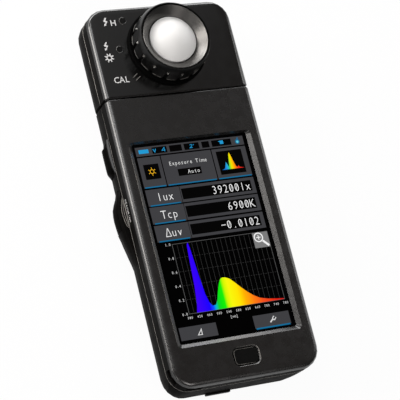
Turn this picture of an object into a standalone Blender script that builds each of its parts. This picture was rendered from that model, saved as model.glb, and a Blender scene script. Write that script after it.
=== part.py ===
"""Handheld light spectrometer with a swivelling head, built from its separate pieces.

Units are metres. The instrument lies on its back: X runs across it, +Y points to the
head, +Z comes out of the display side, and the origin is on the back at mid-length.
Each object is one physical piece and one closed body.
"""
import math

import bmesh
import bpy
from mathutils import Matrix

MM = 0.001
HALF_TURN = math.pi
QUARTER_TURN = math.pi / 2
SMOOTH_ANGLE = math.radians(35)
BEVEL_ANGLE = math.radians(40)
MERGE_DISTANCE = 0.01 * MM

# Housing, outside
THICKNESS = 27 * MM
HEAD_LENGTH = 45 * MM
SEAM_GAP = 0.5 * MM
FRONT_DEPTH = 8.15 * MM
CORNER_RADIUS = 9.5 * MM
BACK_CORNER_RADIUS = 3.5 * MM
SEAM_CORNER_RADIUS = 0.6 * MM
FRONT_EDGE_RADIUS = 2.3 * MM
SEAM_EDGE_RADIUS = 0.5 * MM
BACK_SIDE_RADIUS = 14 * MM
BACK_END_RADIUS = 4 * MM

# Housing, walls and fits
WALL = 1.8 * MM
END_WALL = 2.1 * MM
SEAT = 0.3 * MM
OVERRUN = 2 * MM
CORNER_STEPS = 5
HOLLOW_CORNER_STEPS = 3
ROUND_SIDES = 40
BORE_SIDES = 24
SMALL_SIDES = 16
FINE_SIDES = 12
SHANK_SIDES = 8
SOCKET_SIDES = 6
WINDOW_CORNER_STEPS = 4

# Display window
LIP_THICKNESS = 1.6 * MM
SIGHT_WIDTH = 58.1 * MM
SIGHT_LENGTH = 95.2 * MM
SIGHT_FROM_BOTTOM = 19.9 * MM
SIGHT_CORNER_RADIUS = 1 * MM
SIGHT_TO_SIDE = 7.45 * MM
SIGHT_TO_SEAM = 22.4 * MM
BEVEL_SIDE = 1.95 * MM
BEVEL_BOTTOM = 1.8 * MM
BEVEL_TOP = 0.8 * MM
BEVEL_CORNER_RADIUS = 2 * MM
GLASS_THICKNESS = 1.1 * MM
GLASS_MARGIN = 1.6 * MM
LCD_BESIDE = 4.55 * MM
LCD_ABOVE = 6.4 * MM
LCD_BELOW = 3.9 * MM
LCD_THICKNESS = 2.9 * MM
LCD_EDGE = 0.5 * MM
CHASSIS_THICKNESS = 0.8 * MM
CHASSIS_WINDOW_SHARE = 0.7

# Boards
BOARD_THICKNESS = 1 * MM
BOARD_MARGIN = 0.4 * MM
SHIELD_WIDTH = 38 * MM
SHIELD_HEIGHT = 3.2 * MM
SHIELD_FROM_SEAM = 29.5 * MM
SHIELD_FROM_CELLS = 15.25 * MM
SHIELD_EDGE = 0.6 * MM
BACKUP_CELL_RADIUS = 6.25 * MM
BACKUP_CELL_HEIGHT = 2.2 * MM
BACKUP_CELL_X = -24 * MM
BUZZER_RADIUS = 5 * MM
BUZZER_HEIGHT = 3 * MM
BUZZER_X = 25 * MM
CHIP_ROW_FROM_SHIELD = 8.5 * MM

# Battery compartment
CELL_RADIUS = 7.25 * MM
CELL_LENGTH = 50.5 * MM
CELL_NUB_RADIUS = 2.75 * MM
CELL_NUB_LENGTH = 1 * MM
CELL_EDGE = 0.6 * MM
CELL_SPACE = 0.7 * MM
CELLS_FROM_BOTTOM = 12.25 * MM
CELL_FLOOR_GAP = 0.4 * MM
TRAY_WALL = 0.9 * MM
TRAY_SIDE_SPACE = 0.6 * MM
CONTACT_THICKNESS = 0.5 * MM
CONTACT_WIDTH = 9 * MM
CONTACT_HEIGHT = 11 * MM
SPRING_LENGTH = 1.9 * MM
SPRING_BASE_RADIUS = 4.2 * MM
SPRING_TIP_RADIUS = 2.4 * MM
DOOR_THICKNESS = 1.8 * MM
DOOR_LOWER_MARGIN = 1.1 * MM
DOOR_BARREL_RADIUS = 1.4 * MM
DOOR_PIN_RADIUS = 0.6 * MM
DOOR_LUG_WIDTH = 2.6 * MM
DOOR_LUG_RISE = 1.9 * MM
DOOR_RIB_COUNT = 5
DOOR_RIB_WIDTH = 0.8 * MM
DOOR_RIB_DEPTH = 0.5 * MM
DOOR_RIB_LENGTH = 14 * MM
DOOR_RIB_PITCH = 2 * MM
DOOR_RIB_FROM_END = 4 * MM

# Battery door latch, at the bottom end
LATCH_X = -7.75 * MM
LATCH_WIDTH = 12.3 * MM
LATCH_Z = 2.9 * MM
LATCH_HEIGHT = 2.2 * MM
LATCH_PROUD = 0.85 * MM
LATCH_TRAVEL = 3 * MM
LATCH_FLANGE = 1.2 * MM
LATCH_FLANGE_THICKNESS = 0.8 * MM
LATCH_TONGUE_WIDTH = 5 * MM
LATCH_TONGUE_THICKNESS = 1 * MM
LATCH_EDGE = 0.4 * MM

# Housing screws
SCREW_FROM_SIDE = 13.5 * MM
BODY_SCREW_LOW = 7.5 * MM
BODY_SCREW_HIGH = 9 * MM
HEAD_SCREW_HIGH = 7.3 * MM
SCREW_RADIUS = 1.1 * MM
SCREW_HEAD_RADIUS = 2.3 * MM
SCREW_HEAD_HEIGHT = 1.3 * MM
SCREW_HEAD_DEPTH = 2.2 * MM
SCREW_LENGTH = 20.5 * MM
SCREW_SLOT_RADIUS = 0.7 * MM
SCREW_SLOT_DEPTH = 0.7 * MM
BOSS_RADIUS = 3.9 * MM
FRONT_BOSS_RADIUS = 3 * MM

# Tripod insert in the back
TRIPOD_Y = 12 * MM
TRIPOD_THREAD_RADIUS = 3.2 * MM
TRIPOD_INSERT_RADIUS = 5 * MM
TRIPOD_DEPTH = 6.5 * MM
TRIPOD_BOSS_WALL = 2 * MM

# Power button on the front face
POWER_X = 0.2 * MM
POWER_FROM_BOTTOM = 10 * MM
POWER_WIDTH = 11.8 * MM
POWER_HEIGHT = 7.4 * MM
POWER_CORNER_RADIUS = 2 * MM
POWER_CHAMFER = 0.5 * MM
POWER_CHAMFER_DEPTH = 0.4 * MM
POWER_SUNK = 0.2 * MM
POWER_EDGE = 0.35 * MM
POWER_TRAVEL = 0.6 * MM
POWER_FLANGE = 1 * MM
POWER_FLANGE_THICKNESS = 1 * MM
POWER_STEM_RADIUS = 1.3 * MM
POWER_STEM_LENGTH = 1.2 * MM
POWER_POCKET_SIDE = 3.4 * MM
POWER_POCKET_END = 1.4 * MM
SWITCH_SIZE = 4.5 * MM
SWITCH_EDGE = 0.4 * MM
KEY_BOARD_THICKNESS = 0.8 * MM

# Strap eyelet, a curved tunnel behind the lower left corner
EYELET_Z = 20.7 * MM
EYELET_HEIGHT = 3.6 * MM
EYELET_INNER_X = 6.4 * MM
EYELET_OUTER_X = 13.9 * MM
EYELET_INNER_Y = 4 * MM
EYELET_OUTER_Y = 10.4 * MM
EYELET_STEPS = 8
EYELET_OVERSHOOT = math.radians(12)

# Measuring button and memory button, on the left side
MEASURE_FROM_MEMORY = 6.9 * MM
MEASURE_LENGTH = 19.5 * MM
MEASURE_Z = 6.7 * MM
MEASURE_HEIGHT = 10 * MM
MEASURE_PROUD = 3.9 * MM
MEASURE_TRAVEL = 1.2 * MM
MEMORY_FROM_SEAM = 16.8 * MM
MEMORY_LENGTH = 16.3 * MM
MEMORY_Z = 8 * MM
MEMORY_HEIGHT = 7.6 * MM
MEMORY_PROUD = 1.8 * MM
MEMORY_TRAVEL = 0.8 * MM
KEY_DEPTH = 3.2 * MM
KEY_TAB = 1.5 * MM
KEY_TAB_THICKNESS = 1 * MM
KEY_TAB_LIFT = 2.5 * MM
KEY_SWITCH_DEPTH = 1.5 * MM
SWELL_LENGTH = 17.6 * MM
MEMORY_BROW = 1 * MM
MEMORY_BROW_FROM_SEAM = 15.1 * MM
MEMORY_BROW_LENGTH = 16.5 * MM

# Profiles of the two keys and of the moulded swell: (share of length, share of height)
MEASURE_CROWN_SHARES = [(0, 0.9), (0.15, 0.96), (0.32, 1), (0.45, 0.97), (0.6, 0.86), (0.74, 0.58),
                        (0.88, 0.22), (1, 0.02)]
MEMORY_CROWN_SHARES = [(0, 0.05), (0.16, 0.95), (0.3, 1), (0.7, 1), (0.89, 0.97), (1, 0.08)]
SWELL_SHARES = [(0, 0), (0.17, 0.13), (0.34, 0.3), (0.5, 0.44), (0.67, 0.6), (0.83, 0.72), (1, 0.9)]
BROW_SHARES = [(0, 0), (0.2, 0.75), (0.5, 1), (0.8, 0.7), (1, 0)]
SWELL_LEVEL_SHARES = [(0, 0), (0.25, 0.35), (0.45, 1), (0.85, 1), (0.97, 0.6), (1, 0.1)]
KEY_SIDE_SHARES = [(0, 0.45), (0.12, 0.82), (0.35, 1), (0.65, 1), (0.88, 0.82), (1, 0.4)]

# Terminals and their rubber cover, on the right side
COVER_FROM_SEAM = 21.5 * MM
COVER_LENGTH = 26 * MM
COVER_Z = 11 * MM
COVER_HEIGHT = 6.6 * MM
COVER_THICKNESS = 0.9 * MM
USB_WIDTH = 7.6 * MM
USB_HEIGHT = 3.9 * MM
USB_DEPTH = 7 * MM
USB_WALL = 0.4 * MM
USB_SOCKET_DEPTH = 5.5 * MM
USB_FROM_COVER = 18.5 * MM
USB_STAND_DEPTH = 4 * MM
SYNC_RADIUS = 2.6 * MM
SYNC_BORE_RADIUS = 1.5 * MM
SYNC_DEPTH = 8 * MM
SYNC_SOCKET_DEPTH = 4 * MM
SYNC_FROM_COVER = 6.5 * MM
SYNC_PIN_RADIUS = 0.5 * MM

# Head swivel
SWIVEL_Z = 13.5 * MM
SPINDLE_RADIUS = 5 * MM
SPINDLE_BORE_RADIUS = 3.4 * MM
SPINDLE_TAIL = 1.4 * MM
SPINDLE_FLANGE_RADIUS = 9 * MM
SPINDLE_FLANGE_THICKNESS = 1.5 * MM
BUSH_WALL = 2 * MM
BUSH_FLANGE = 1.6 * MM
BUSH_FLANGE_THICKNESS = 1.2 * MM
CLIP_THICKNESS = 0.9 * MM
CLIP_RIM = 2.2 * MM
CLIP_GROOVE_DEPTH = 0.5 * MM
HARNESS_RADIUS = 2.4 * MM
HARNESS_HEAD_LENGTH = 3.4 * MM
CONNECTOR_WIDTH = 8 * MM
CONNECTOR_LENGTH = 4.5 * MM
CONNECTOR_DROP = 7.4 * MM

# Light receptor and its ring
RECEPTOR_FROM_SEAM = 23 * MM
FLANGE_RADIUS = 19.3 * MM
FLANGE_HEIGHT = 1.5 * MM
FLANGE_EDGE = 0.35 * MM
NECK_RADIUS = 12.2 * MM
NECK_BORE_RADIUS = 10 * MM
NECK_TOP = 7 * MM
NECK_TAIL = 5.5 * MM
DOME_RADIUS = 11.4 * MM
DOME_EDGE_Z = 9 * MM
DOME_TOP = 13 * MM
DOME_WALL = 1.6 * MM
DOME_SKIRT = 1.4 * MM
DOME_STEPS = 5
DOME_INNER_STEPS = 2
GRIP_RADIUS = 18 * MM
GRIP_FOOT_RADIUS = 16.6 * MM
GRIP_CLEARANCE = 0.3 * MM
GRIP_FOOT_HEIGHT = 0.9 * MM
GRIP_BAND_TOP = 9.9 * MM
GRIP_SHOULDER_TOP = 12 * MM
GRIP_SHOULDER_RADIUS = 17.35 * MM
GRIP_TOP = 12.7 * MM
GRIP_RIM_RADIUS = 17 * MM
GRIP_RIM_WIDTH = 0.5 * MM
GRIP_WEB = 2.1 * MM
GRIP_FADE = 0.6 * MM
GROOVE_COUNT = 16
GROOVE_DEPTH = 0.7 * MM
GROOVE_SHARES = [(-0.14, 0), (0, 1), (0.14, 0), (0.5, 0)]
INDEX_RADIUS = 0.9 * MM
DISH_DEPTH = 3.8 * MM
DISH_INNER_RADIUS = 11.9 * MM
DISH_THICKNESS = 0.8 * MM
DISH_LIP = 0.3 * MM
SHUTTER_THICKNESS = 0.8 * MM
SHUTTER_Z = 2.9 * MM
SHUTTER_ARM_WIDTH = 3 * MM
SHUTTER_HOLE_RADIUS = 3 * MM
RING_TURN_LOW = math.radians(39)
RING_TURN_HIGH = math.radians(37)
SLOT_MARGIN = math.radians(11)
SLOT_STEPS = 8
DIFFUSER_HEIGHT = 2 * MM
PIPE_RADIUS = 3 * MM

# Optics inside the head
BENCH_WIDTH = 46 * MM
BENCH_LENGTH = 23.4 * MM
BENCH_FROM_SEAM = 9.7 * MM
BENCH_HEIGHT = 11.9 * MM
BENCH_WALL = 1.6 * MM
LID_THICKNESS = 1 * MM
LID_HOLE_RADIUS = 2.5 * MM
SLIT_PLATE_SIZE = 8 * MM
SLIT_PLATE_THICKNESS = 0.4 * MM
SLIT_WIDTH = 0.3 * MM
SLIT_LENGTH = 3 * MM
MIRROR_WIDTH = 13 * MM
MIRROR_HEIGHT = 8 * MM
MIRROR_THICKNESS = 3 * MM
MIRROR_CURVE_RADIUS = 40 * MM
MIRROR_SAG = 0.5 * MM
MIRROR_SIDES = 96
GRATING_SIZE = 8 * MM
GRATING_THICKNESS = 2.5 * MM
GRATING_TURN = math.radians(18)
GRATING_FROM_WALL = 3 * MM
SENSOR_LENGTH = 11 * MM
SENSOR_WIDTH = 2.2 * MM
SENSOR_HEIGHT = 7 * MM
FOLD_MIRROR_SIZE = 5 * MM

# Worked out from the sizes above
WIDTH = SIGHT_WIDTH + 2 * SIGHT_TO_SIDE
BODY_LENGTH = SIGHT_FROM_BOTTOM + SIGHT_LENGTH + SIGHT_TO_SEAM
LENGTH = BODY_LENGTH + SEAM_GAP + HEAD_LENGTH
HALF_WIDTH = WIDTH / 2
SCREW_X = HALF_WIDTH - SCREW_FROM_SIDE
SHIELD_FROM_BOTTOM = CELLS_FROM_BOTTOM + CELL_LENGTH + SHIELD_FROM_CELLS
SHIELD_LENGTH = BODY_LENGTH - SHIELD_FROM_SEAM - SHIELD_FROM_BOTTOM
CHIP_ROW_FROM_BOTTOM = SHIELD_FROM_BOTTOM - CHIP_ROW_FROM_SHIELD
MEMORY_LOW = BODY_LENGTH - MEMORY_FROM_SEAM - MEMORY_LENGTH
MEMORY_BROW_LOW = BODY_LENGTH - MEMORY_BROW_FROM_SEAM - MEMORY_BROW_LENGTH
MEASURE_LOW = MEMORY_LOW - MEASURE_FROM_MEMORY - MEASURE_LENGTH
COVER_LOW = BODY_LENGTH - COVER_FROM_SEAM - COVER_LENGTH
KEY_INSIDE = HALF_WIDTH - KEY_DEPTH
BODY_BOTTOM = -LENGTH / 2
BODY_TOP = BODY_BOTTOM + BODY_LENGTH
HEAD_BOTTOM = BODY_TOP + SEAM_GAP
HEAD_TOP = HEAD_BOTTOM + HEAD_LENGTH
SPLIT_Z = THICKNESS - FRONT_DEPTH
FRONT_LOW = SPLIT_Z + SEAT / 2
REAR_HIGH = SPLIT_Z - SEAT / 2
LIP_Z = THICKNESS - LIP_THICKNESS
GLASS_TOP = LIP_Z - SEAT
LCD_TOP = GLASS_TOP - GLASS_THICKNESS - SEAT
CHASSIS_TOP = LCD_TOP - LCD_THICKNESS - SEAT
BOARD_TOP = CHASSIS_TOP - CHASSIS_THICKNESS - SEAT
BOARD_LOW = BOARD_TOP - BOARD_THICKNESS
LCD_BOTTOM = BODY_BOTTOM + SIGHT_FROM_BOTTOM - LCD_BELOW
LCD_WIDTH = SIGHT_WIDTH + 2 * LCD_BESIDE
LCD_LENGTH = LCD_BELOW + SIGHT_LENGTH + LCD_ABOVE
CELL_Z = DOOR_THICKNESS + CELL_FLOOR_GAP + CELL_RADIUS
CELL_X = CELL_RADIUS + CELL_SPACE / 2
CELL_BOTTOM = BODY_BOTTOM + CELLS_FROM_BOTTOM
CELL_TOP = CELL_BOTTOM + CELL_LENGTH
TRAY_HALF = CELL_X + CELL_RADIUS + TRAY_SIDE_SPACE + TRAY_WALL
TRAY_BOTTOM = CELL_BOTTOM - SEAT - SPRING_LENGTH - SEAT - CONTACT_THICKNESS - SEAT - TRAY_WALL
TRAY_TOP = CELL_TOP + SEAT + CONTACT_THICKNESS + SEAT + TRAY_WALL
DOOR_AXIS_Z = DOOR_BARREL_RADIUS
DOOR_AXIS_Y = TRAY_TOP + SEAT + DOOR_BARREL_RADIUS
DOOR_HALF = TRAY_HALF - TRAY_WALL / 2 - SEAT
DOOR_BOTTOM = TRAY_BOTTOM - DOOR_LOWER_MARGIN
POWER_Y = BODY_BOTTOM + POWER_FROM_BOTTOM
RECEPTOR_Y = HEAD_BOTTOM + RECEPTOR_FROM_SEAM
FLANGE_LOW = THICKNESS + SEAT
RING_LOW = FLANGE_LOW + FLANGE_HEIGHT + GRIP_CLEARANCE
HARNESS_END = LCD_BOTTOM + LCD_LENGTH - BOARD_MARGIN - CONNECTOR_LENGTH

COLOURS = {
    "shell": ((0.021, 0.020, 0.020), 0.42, 0),
    "key": ((0.012, 0.012, 0.012), 0.4, 0),
    "rubber": ((0.014, 0.014, 0.014), 0.75, 0),
    "glass": ((0.004, 0.004, 0.005), 0.08, 0),
    "panel": ((0.35, 0.36, 0.38), 0.4, 0.6),
    "steel": ((0.55, 0.55, 0.56), 0.32, 1),
    "brass": ((0.66, 0.47, 0.2), 0.35, 1),
    "board": ((0.01, 0.11, 0.04), 0.5, 0),
    "gold": ((0.8, 0.55, 0.2), 0.35, 1),
    "black_part": ((0.016, 0.016, 0.017), 0.5, 0),
    "cell": ((0.09, 0.09, 0.1), 0.35, 0.3),
    "dish": ((0.2, 0.195, 0.19), 0.3, 1),
    "dome": ((0.86, 0.86, 0.84), 0.45, 0),
    "optic": ((0.62, 0.65, 0.68), 0.05, 1),
    "lead": ((0.03, 0.03, 0.035), 0.55, 0),
}


# Scene helpers

def clear_scene():
    for thing in list(bpy.data.objects):
        bpy.data.objects.remove(thing, do_unlink=True)


def make_collection(name):
    collection = bpy.data.collections.new(name)
    bpy.context.scene.collection.children.link(collection)
    return collection


def make_material(name):
    colour, roughness, metallic = COLOURS[name]
    material = bpy.data.materials.new(name)
    material.use_nodes = True
    shader = material.node_tree.nodes["Principled BSDF"]
    shader.inputs["Base Color"].default_value = (*colour, 1)
    shader.inputs["Roughness"].default_value = roughness
    shader.inputs["Metallic"].default_value = metallic
    material.diffuse_color = (*colour, 1)
    return material


clear_scene()
PARTS = make_collection("spectrometer")
CUTTERS = make_collection("cutters")
MATERIALS = {name: make_material(name) for name in COLOURS}


def add_piece(name, mesh, colour):
    """A visible piece with its own copy of a material."""
    piece = bpy.data.objects.new(name, mesh)
    PARTS.objects.link(piece)
    material = MATERIALS[colour].copy()
    material.name = name
    mesh.materials.append(material)
    mesh.shade_smooth()
    mesh.set_sharp_from_angle(angle=SMOOTH_ANGLE)
    return piece


def add_cutter(name, mesh):
    """A shape that only cuts, joins or limits another piece."""
    cutter = bpy.data.objects.new(name, mesh)
    CUTTERS.objects.link(cutter)
    cutter.hide_render = True
    cutter.display_type = "WIRE"
    return cutter


def combine(piece, tool, operation):
    modifier = piece.modifiers.new(tool.name, "BOOLEAN")
    modifier.operation = operation
    modifier.object = tool
    return piece


def cut(piece, tool):
    return combine(piece, tool, "DIFFERENCE")


def join(piece, tool):
    return combine(piece, tool, "UNION")


def soften(piece, width, segments=2, limit=BEVEL_ANGLE):
    bevel = piece.modifiers.new("rounded edges", "BEVEL")
    bevel.width = width
    bevel.segments = segments
    bevel.limit_method = "ANGLE"
    bevel.angle_limit = limit
    return piece


# Shape helpers, each of which returns a mesh

def finish_mesh(name, shape):
    bmesh.ops.recalc_face_normals(shape, faces=shape.faces)
    mesh = bpy.data.meshes.new(name)
    shape.to_mesh(mesh)
    shape.free()
    return mesh


def box_mesh(name, low, high):
    shape = bmesh.new()
    bmesh.ops.create_cube(shape, size=1)
    size = [high[axis] - low[axis] for axis in range(3)]
    middle = [(high[axis] + low[axis]) / 2 for axis in range(3)]
    bmesh.ops.scale(shape, vec=size, verts=shape.verts)
    bmesh.ops.translate(shape, vec=middle, verts=shape.verts)
    return finish_mesh(name, shape)


AXIS_TURNS = {
    "X": Matrix.Rotation(QUARTER_TURN, 4, "Y"),
    "Y": Matrix.Rotation(-QUARTER_TURN, 4, "X"),
    "Z": Matrix.Identity(4),
}


def rod_mesh(name, start, length, radius, axis="Z", sides=SMALL_SIDES, end_radius=None):
    """A cylinder or cone from its start point along an axis."""
    shape = bmesh.new()
    tip = radius if end_radius is None else end_radius
    bmesh.ops.create_cone(shape, cap_ends=True, segments=sides, radius1=radius, radius2=tip, depth=length)
    bmesh.ops.translate(shape, vec=(0, 0, length / 2), verts=shape.verts)
    bmesh.ops.transform(shape, matrix=Matrix.Translation(start) @ AXIS_TURNS[axis], verts=shape.verts)
    return finish_mesh(name, shape)


def loft_mesh(name, rings, closed=False):
    """Skin a row of point rings; the ends are capped, or the last ring meets the first."""
    shape = bmesh.new()
    rows = [[shape.verts.new(point) for point in ring] for ring in rings]
    pairs = list(zip(rows, rows[1:]))
    if closed:
        pairs.append((rows[-1], rows[0]))
    for lower, upper in pairs:
        for index in range(len(lower)):
            after = (index + 1) % len(lower)
            shape.faces.new((lower[index], lower[after], upper[after], upper[index]))
    if not closed:
        shape.faces.new(list(reversed(rows[0])))
        shape.faces.new(rows[-1])
    bent = [face for face in shape.faces if len(face.verts) == 4]
    bmesh.ops.triangulate(shape, faces=bent)
    return finish_mesh(name, shape)


def plate_mesh(name, outline, low, high):
    """A flat outline of (x, y) points with a thickness along Z."""
    return loft_mesh(name, [[(x, y, z) for x, y in outline] for z in (low, high)])


def merge_meshes(name, meshes):
    """Several separate bodies in one mesh."""
    shape = bmesh.new()
    for mesh in meshes:
        shape.from_mesh(mesh)
        bpy.data.meshes.remove(mesh)
    return finish_mesh(name, shape)


def turned_piece(name, profile, centre, colour, axis="Z", sides=ROUND_SIDES, as_cutter=False):
    """A closed (radius, height) profile turned with a Screw modifier about an axis at centre."""
    shape = bmesh.new()
    points = [shape.verts.new((radius, 0, height)) for radius, height in profile]
    for first, second in zip(points, points[1:]):
        shape.edges.new((first, second))
    if profile[0][0] > 0 or profile[-1][0] > 0:
        shape.edges.new((points[-1], points[0]))
    mesh = bpy.data.meshes.new(name)
    shape.to_mesh(mesh)
    shape.free()
    piece = add_cutter(name, mesh) if as_cutter else add_piece(name, mesh, colour)
    screw = piece.modifiers.new("turned", "SCREW")
    screw.steps = sides
    screw.render_steps = sides
    screw.use_merge_vertices = True
    screw.merge_threshold = MERGE_DISTANCE
    screw.use_smooth_shade = True
    piece.matrix_world = Matrix.Translation(centre) @ AXIS_TURNS[axis]
    return piece


def arc_points(centre_x, centre_y, radius, start, sweep, steps):
    angles = [start + sweep * step / steps for step in range(steps + 1)]
    return [(centre_x + radius * math.cos(angle), centre_y + radius * math.sin(angle)) for angle in angles]


def rounded_outline(width, height, radius, centre_x, centre_y, steps=CORNER_STEPS):
    """A rounded rectangle, anticlockwise from its lower right corner."""
    across = width / 2 - radius
    along = height / 2 - radius
    corners = [(across, -along, -QUARTER_TURN), (across, along, 0), (-across, along, QUARTER_TURN),
               (-across, -along, HALF_TURN)]
    outline = []
    for x, y, start in corners:
        outline += arc_points(centre_x + x, centre_y + y, radius, start, QUARTER_TURN, steps)
    return outline


def share_curve(shares, place):
    """The height share at a length share, on straight runs between the given points."""
    if place <= shares[0][0]:
        return shares[0][1]
    for (start, low), (end, high) in zip(shares, shares[1:]):
        if place <= end:
            return low + (high - low) * (place - start) / (end - start)
    return shares[-1][1]


# Housing form

def edge_inset(depth, radius):
    """How far a rounded edge lies inside its wall at a depth below the flat face."""
    if depth >= radius:
        return 0
    return radius - math.sqrt(radius ** 2 - (radius - depth) ** 2)


def swell_height(y, z):
    """How far the left wall stands out round the two side keys."""
    up_the_side = share_curve(SWELL_LEVEL_SHARES, z / REAR_HIGH)
    low = BODY_BOTTOM + MEASURE_LOW
    below = (y - low + SWELL_LENGTH) / SWELL_LENGTH
    if below <= 1:
        return MEASURE_PROUD * share_curve(SWELL_SHARES, max(below, 0)) * up_the_side
    beside = (y - low) / MEASURE_LENGTH
    if beside <= 1:
        return MEASURE_PROUD * share_curve(MEASURE_CROWN_SHARES, beside) * up_the_side
    above = (y - BODY_BOTTOM - MEMORY_BROW_LOW) / MEMORY_BROW_LENGTH
    return MEMORY_BROW * share_curve(BROW_SHARES, min(max(above, 0), 1)) * up_the_side


def swell_stations():
    """The Y places, from the top down, where the left wall needs points."""
    low = BODY_BOTTOM + MEASURE_LOW
    stations = [low - SWELL_LENGTH + SWELL_LENGTH * share for share, height in SWELL_SHARES]
    stations += [low + MEASURE_LENGTH * share for share, height in MEASURE_CROWN_SHARES[1:]]
    stations += [BODY_BOTTOM + MEMORY_BROW_LOW + MEMORY_BROW_LENGTH * share for share, height in BROW_SHARES]
    return sorted(stations, reverse=True)


def housing_ring(z, half_width, low, high, low_radius, high_radius, left_points=None, steps=CORNER_STEPS):
    """One level of the housing, anticlockwise from the lower right corner."""
    low_steps = steps if low_radius > SEAM_CORNER_RADIUS else 1
    high_steps = steps if high_radius > SEAM_CORNER_RADIUS else 1
    low_x, low_y = half_width - low_radius, low + low_radius
    high_x, high_y = half_width - high_radius, high - high_radius
    ring = arc_points(low_x, low_y, low_radius, -QUARTER_TURN, QUARTER_TURN, low_steps)
    ring += arc_points(high_x, high_y, high_radius, 0, QUARTER_TURN, high_steps)
    ring += arc_points(-high_x, high_y, high_radius, QUARTER_TURN, QUARTER_TURN, high_steps)
    if left_points:
        ring += [(-half_width - swell_height(y, z), y) for y in left_points]
    ring += arc_points(-low_x, low_y, low_radius, HALF_TURN, QUARTER_TURN, low_steps)
    return [(x, y, z) for x, y in ring]


def corner_radius(side_inset):
    """The outline's corner tightens towards the back."""
    share = side_inset / BACK_SIDE_RADIUS
    return CORNER_RADIUS + (BACK_CORNER_RADIUS - CORNER_RADIUS) * share


FRONT_LEVEL_SHARES = (1, 0.62, 0.3, 0.1, 0)


def front_rings(low, high, open_low):
    """Outer form of a front shell; open_low says that the lower end is at the seam."""
    rings = []
    for depth in [THICKNESS - FRONT_LOW] + [share * FRONT_EDGE_RADIUS for share in FRONT_LEVEL_SHARES]:
        side = edge_inset(depth, FRONT_EDGE_RADIUS)
        seam = edge_inset(depth, SEAM_EDGE_RADIUS)
        corner = CORNER_RADIUS - side
        low_inset, high_inset = (seam, side) if open_low else (side, seam)
        low_corner, high_corner = (SEAM_CORNER_RADIUS, corner) if open_low else (corner, SEAM_CORNER_RADIUS)
        rings.append(housing_ring(THICKNESS - depth, HALF_WIDTH - side, low + low_inset, high - high_inset,
                                  low_corner, high_corner))
    return rings


REAR_LEVEL_SHARES = (0, 0.022, 0.08, 0.17, 0.29, 0.44, 0.65, 1)
HOLLOW_LEVEL_SHARES = (0, 0.03, 0.1, 0.22, 0.45, 1)
SEAM_LEVEL_SHARE = 0.97


def rear_rings(low, high, open_low, wall=0, end_wall=0, left_points=None):
    """Form of a rear shell, or of its hollow when a wall is given."""
    side_radius = BACK_SIDE_RADIUS - wall
    steps = HOLLOW_CORNER_STEPS if wall else CORNER_STEPS
    levels = [side_radius * share for share in (HOLLOW_LEVEL_SHARES if wall else REAR_LEVEL_SHARES)]
    levels += [(REAR_HIGH + side_radius) / 2, REAR_HIGH * SEAM_LEVEL_SHARE] if left_points else []
    levels.append(REAR_HIGH - wall + (OVERRUN if wall else 0))
    rings = []
    for depth in levels:
        side = edge_inset(depth, side_radius)
        end = edge_inset(depth, BACK_END_RADIUS - wall)
        seam = 0 if wall else edge_inset(depth, SEAM_EDGE_RADIUS)
        corner = corner_radius(side) - wall
        low_inset, high_inset = (seam + end_wall, end + wall) if open_low else (end + wall, seam + end_wall)
        low_corner, high_corner = (SEAM_CORNER_RADIUS, corner) if open_low else (corner, SEAM_CORNER_RADIUS)
        rings.append(housing_ring(depth + wall, HALF_WIDTH - wall - side, low + low_inset, high - high_inset,
                                  low_corner, high_corner, left_points, steps))
    return rings


def screw_places(low, high, low_offset, high_offset):
    return [(side * SCREW_X, y) for y in (low + low_offset, high - high_offset) for side in (-1, 1)]


BODY_SCREWS = screw_places(BODY_BOTTOM, BODY_TOP, BODY_SCREW_LOW, BODY_SCREW_HIGH)
HEAD_SCREWS = screw_places(HEAD_BOTTOM, HEAD_TOP, HEAD_SCREW_HIGH, HEAD_SCREW_HIGH)[2:]


def round_bodies(name, places, z, length, radius, sides=FINE_SIDES):
    rods = [rod_mesh(name, (x, y, z), length, radius, sides=sides) for x, y in places]
    return merge_meshes(name, rods)


def drill_screws(piece, label, places, from_back):
    """Screw holes, and the head recesses where they start in the back."""
    depth = SCREW_HEAD_DEPTH + SCREW_LENGTH + SEAT
    hole = round_bodies(label + "_screw_holes", places, -OVERRUN, depth + OVERRUN, SCREW_RADIUS + SEAT)
    cut(piece, add_cutter(label + "_screw_holes", hole))
    if from_back:
        recess = round_bodies(label + "_screw_recesses", places, -OVERRUN, SCREW_HEAD_DEPTH + OVERRUN,
                              SCREW_HEAD_RADIUS + SEAT, SMALL_SIDES)
        cut(piece, add_cutter(label + "_screw_recesses", recess))


def swivel_cutter(name, radius):
    """A round passage on the swivel axis through both end walls."""
    start = BODY_TOP - END_WALL - OVERRUN
    length = SEAM_GAP + 2 * (END_WALL + OVERRUN)
    return add_cutter(name, rod_mesh(name, (0, start, SWIVEL_Z), length, radius, "Y", BORE_SIDES))


# Body shells

def sight_outline(grow_side, grow_low, grow_high, radius):
    low = BODY_BOTTOM + SIGHT_FROM_BOTTOM - grow_low
    high = BODY_BOTTOM + SIGHT_FROM_BOTTOM + SIGHT_LENGTH + grow_high
    return rounded_outline(SIGHT_WIDTH + 2 * grow_side, high - low, radius, 0, (low + high) / 2,
                           WINDOW_CORNER_STEPS)


def window_cutter():
    outer = sight_outline(BEVEL_SIDE, BEVEL_BOTTOM, BEVEL_TOP, BEVEL_CORNER_RADIUS)
    inner = sight_outline(0, 0, 0, SIGHT_CORNER_RADIUS)
    levels = [(LIP_Z - OVERRUN, inner), (LIP_Z, inner), (THICKNESS, outer), (THICKNESS + OVERRUN, outer)]
    return add_cutter("window_cut",
                      loft_mesh("window_cut", [[(x, y, z) for x, y in ring] for z, ring in levels]))


def power_outline(grow):
    size = (POWER_WIDTH + 2 * grow, POWER_HEIGHT + 2 * grow, POWER_CORNER_RADIUS + grow)
    return rounded_outline(*size, POWER_X, POWER_Y, WINDOW_CORNER_STEPS)


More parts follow.
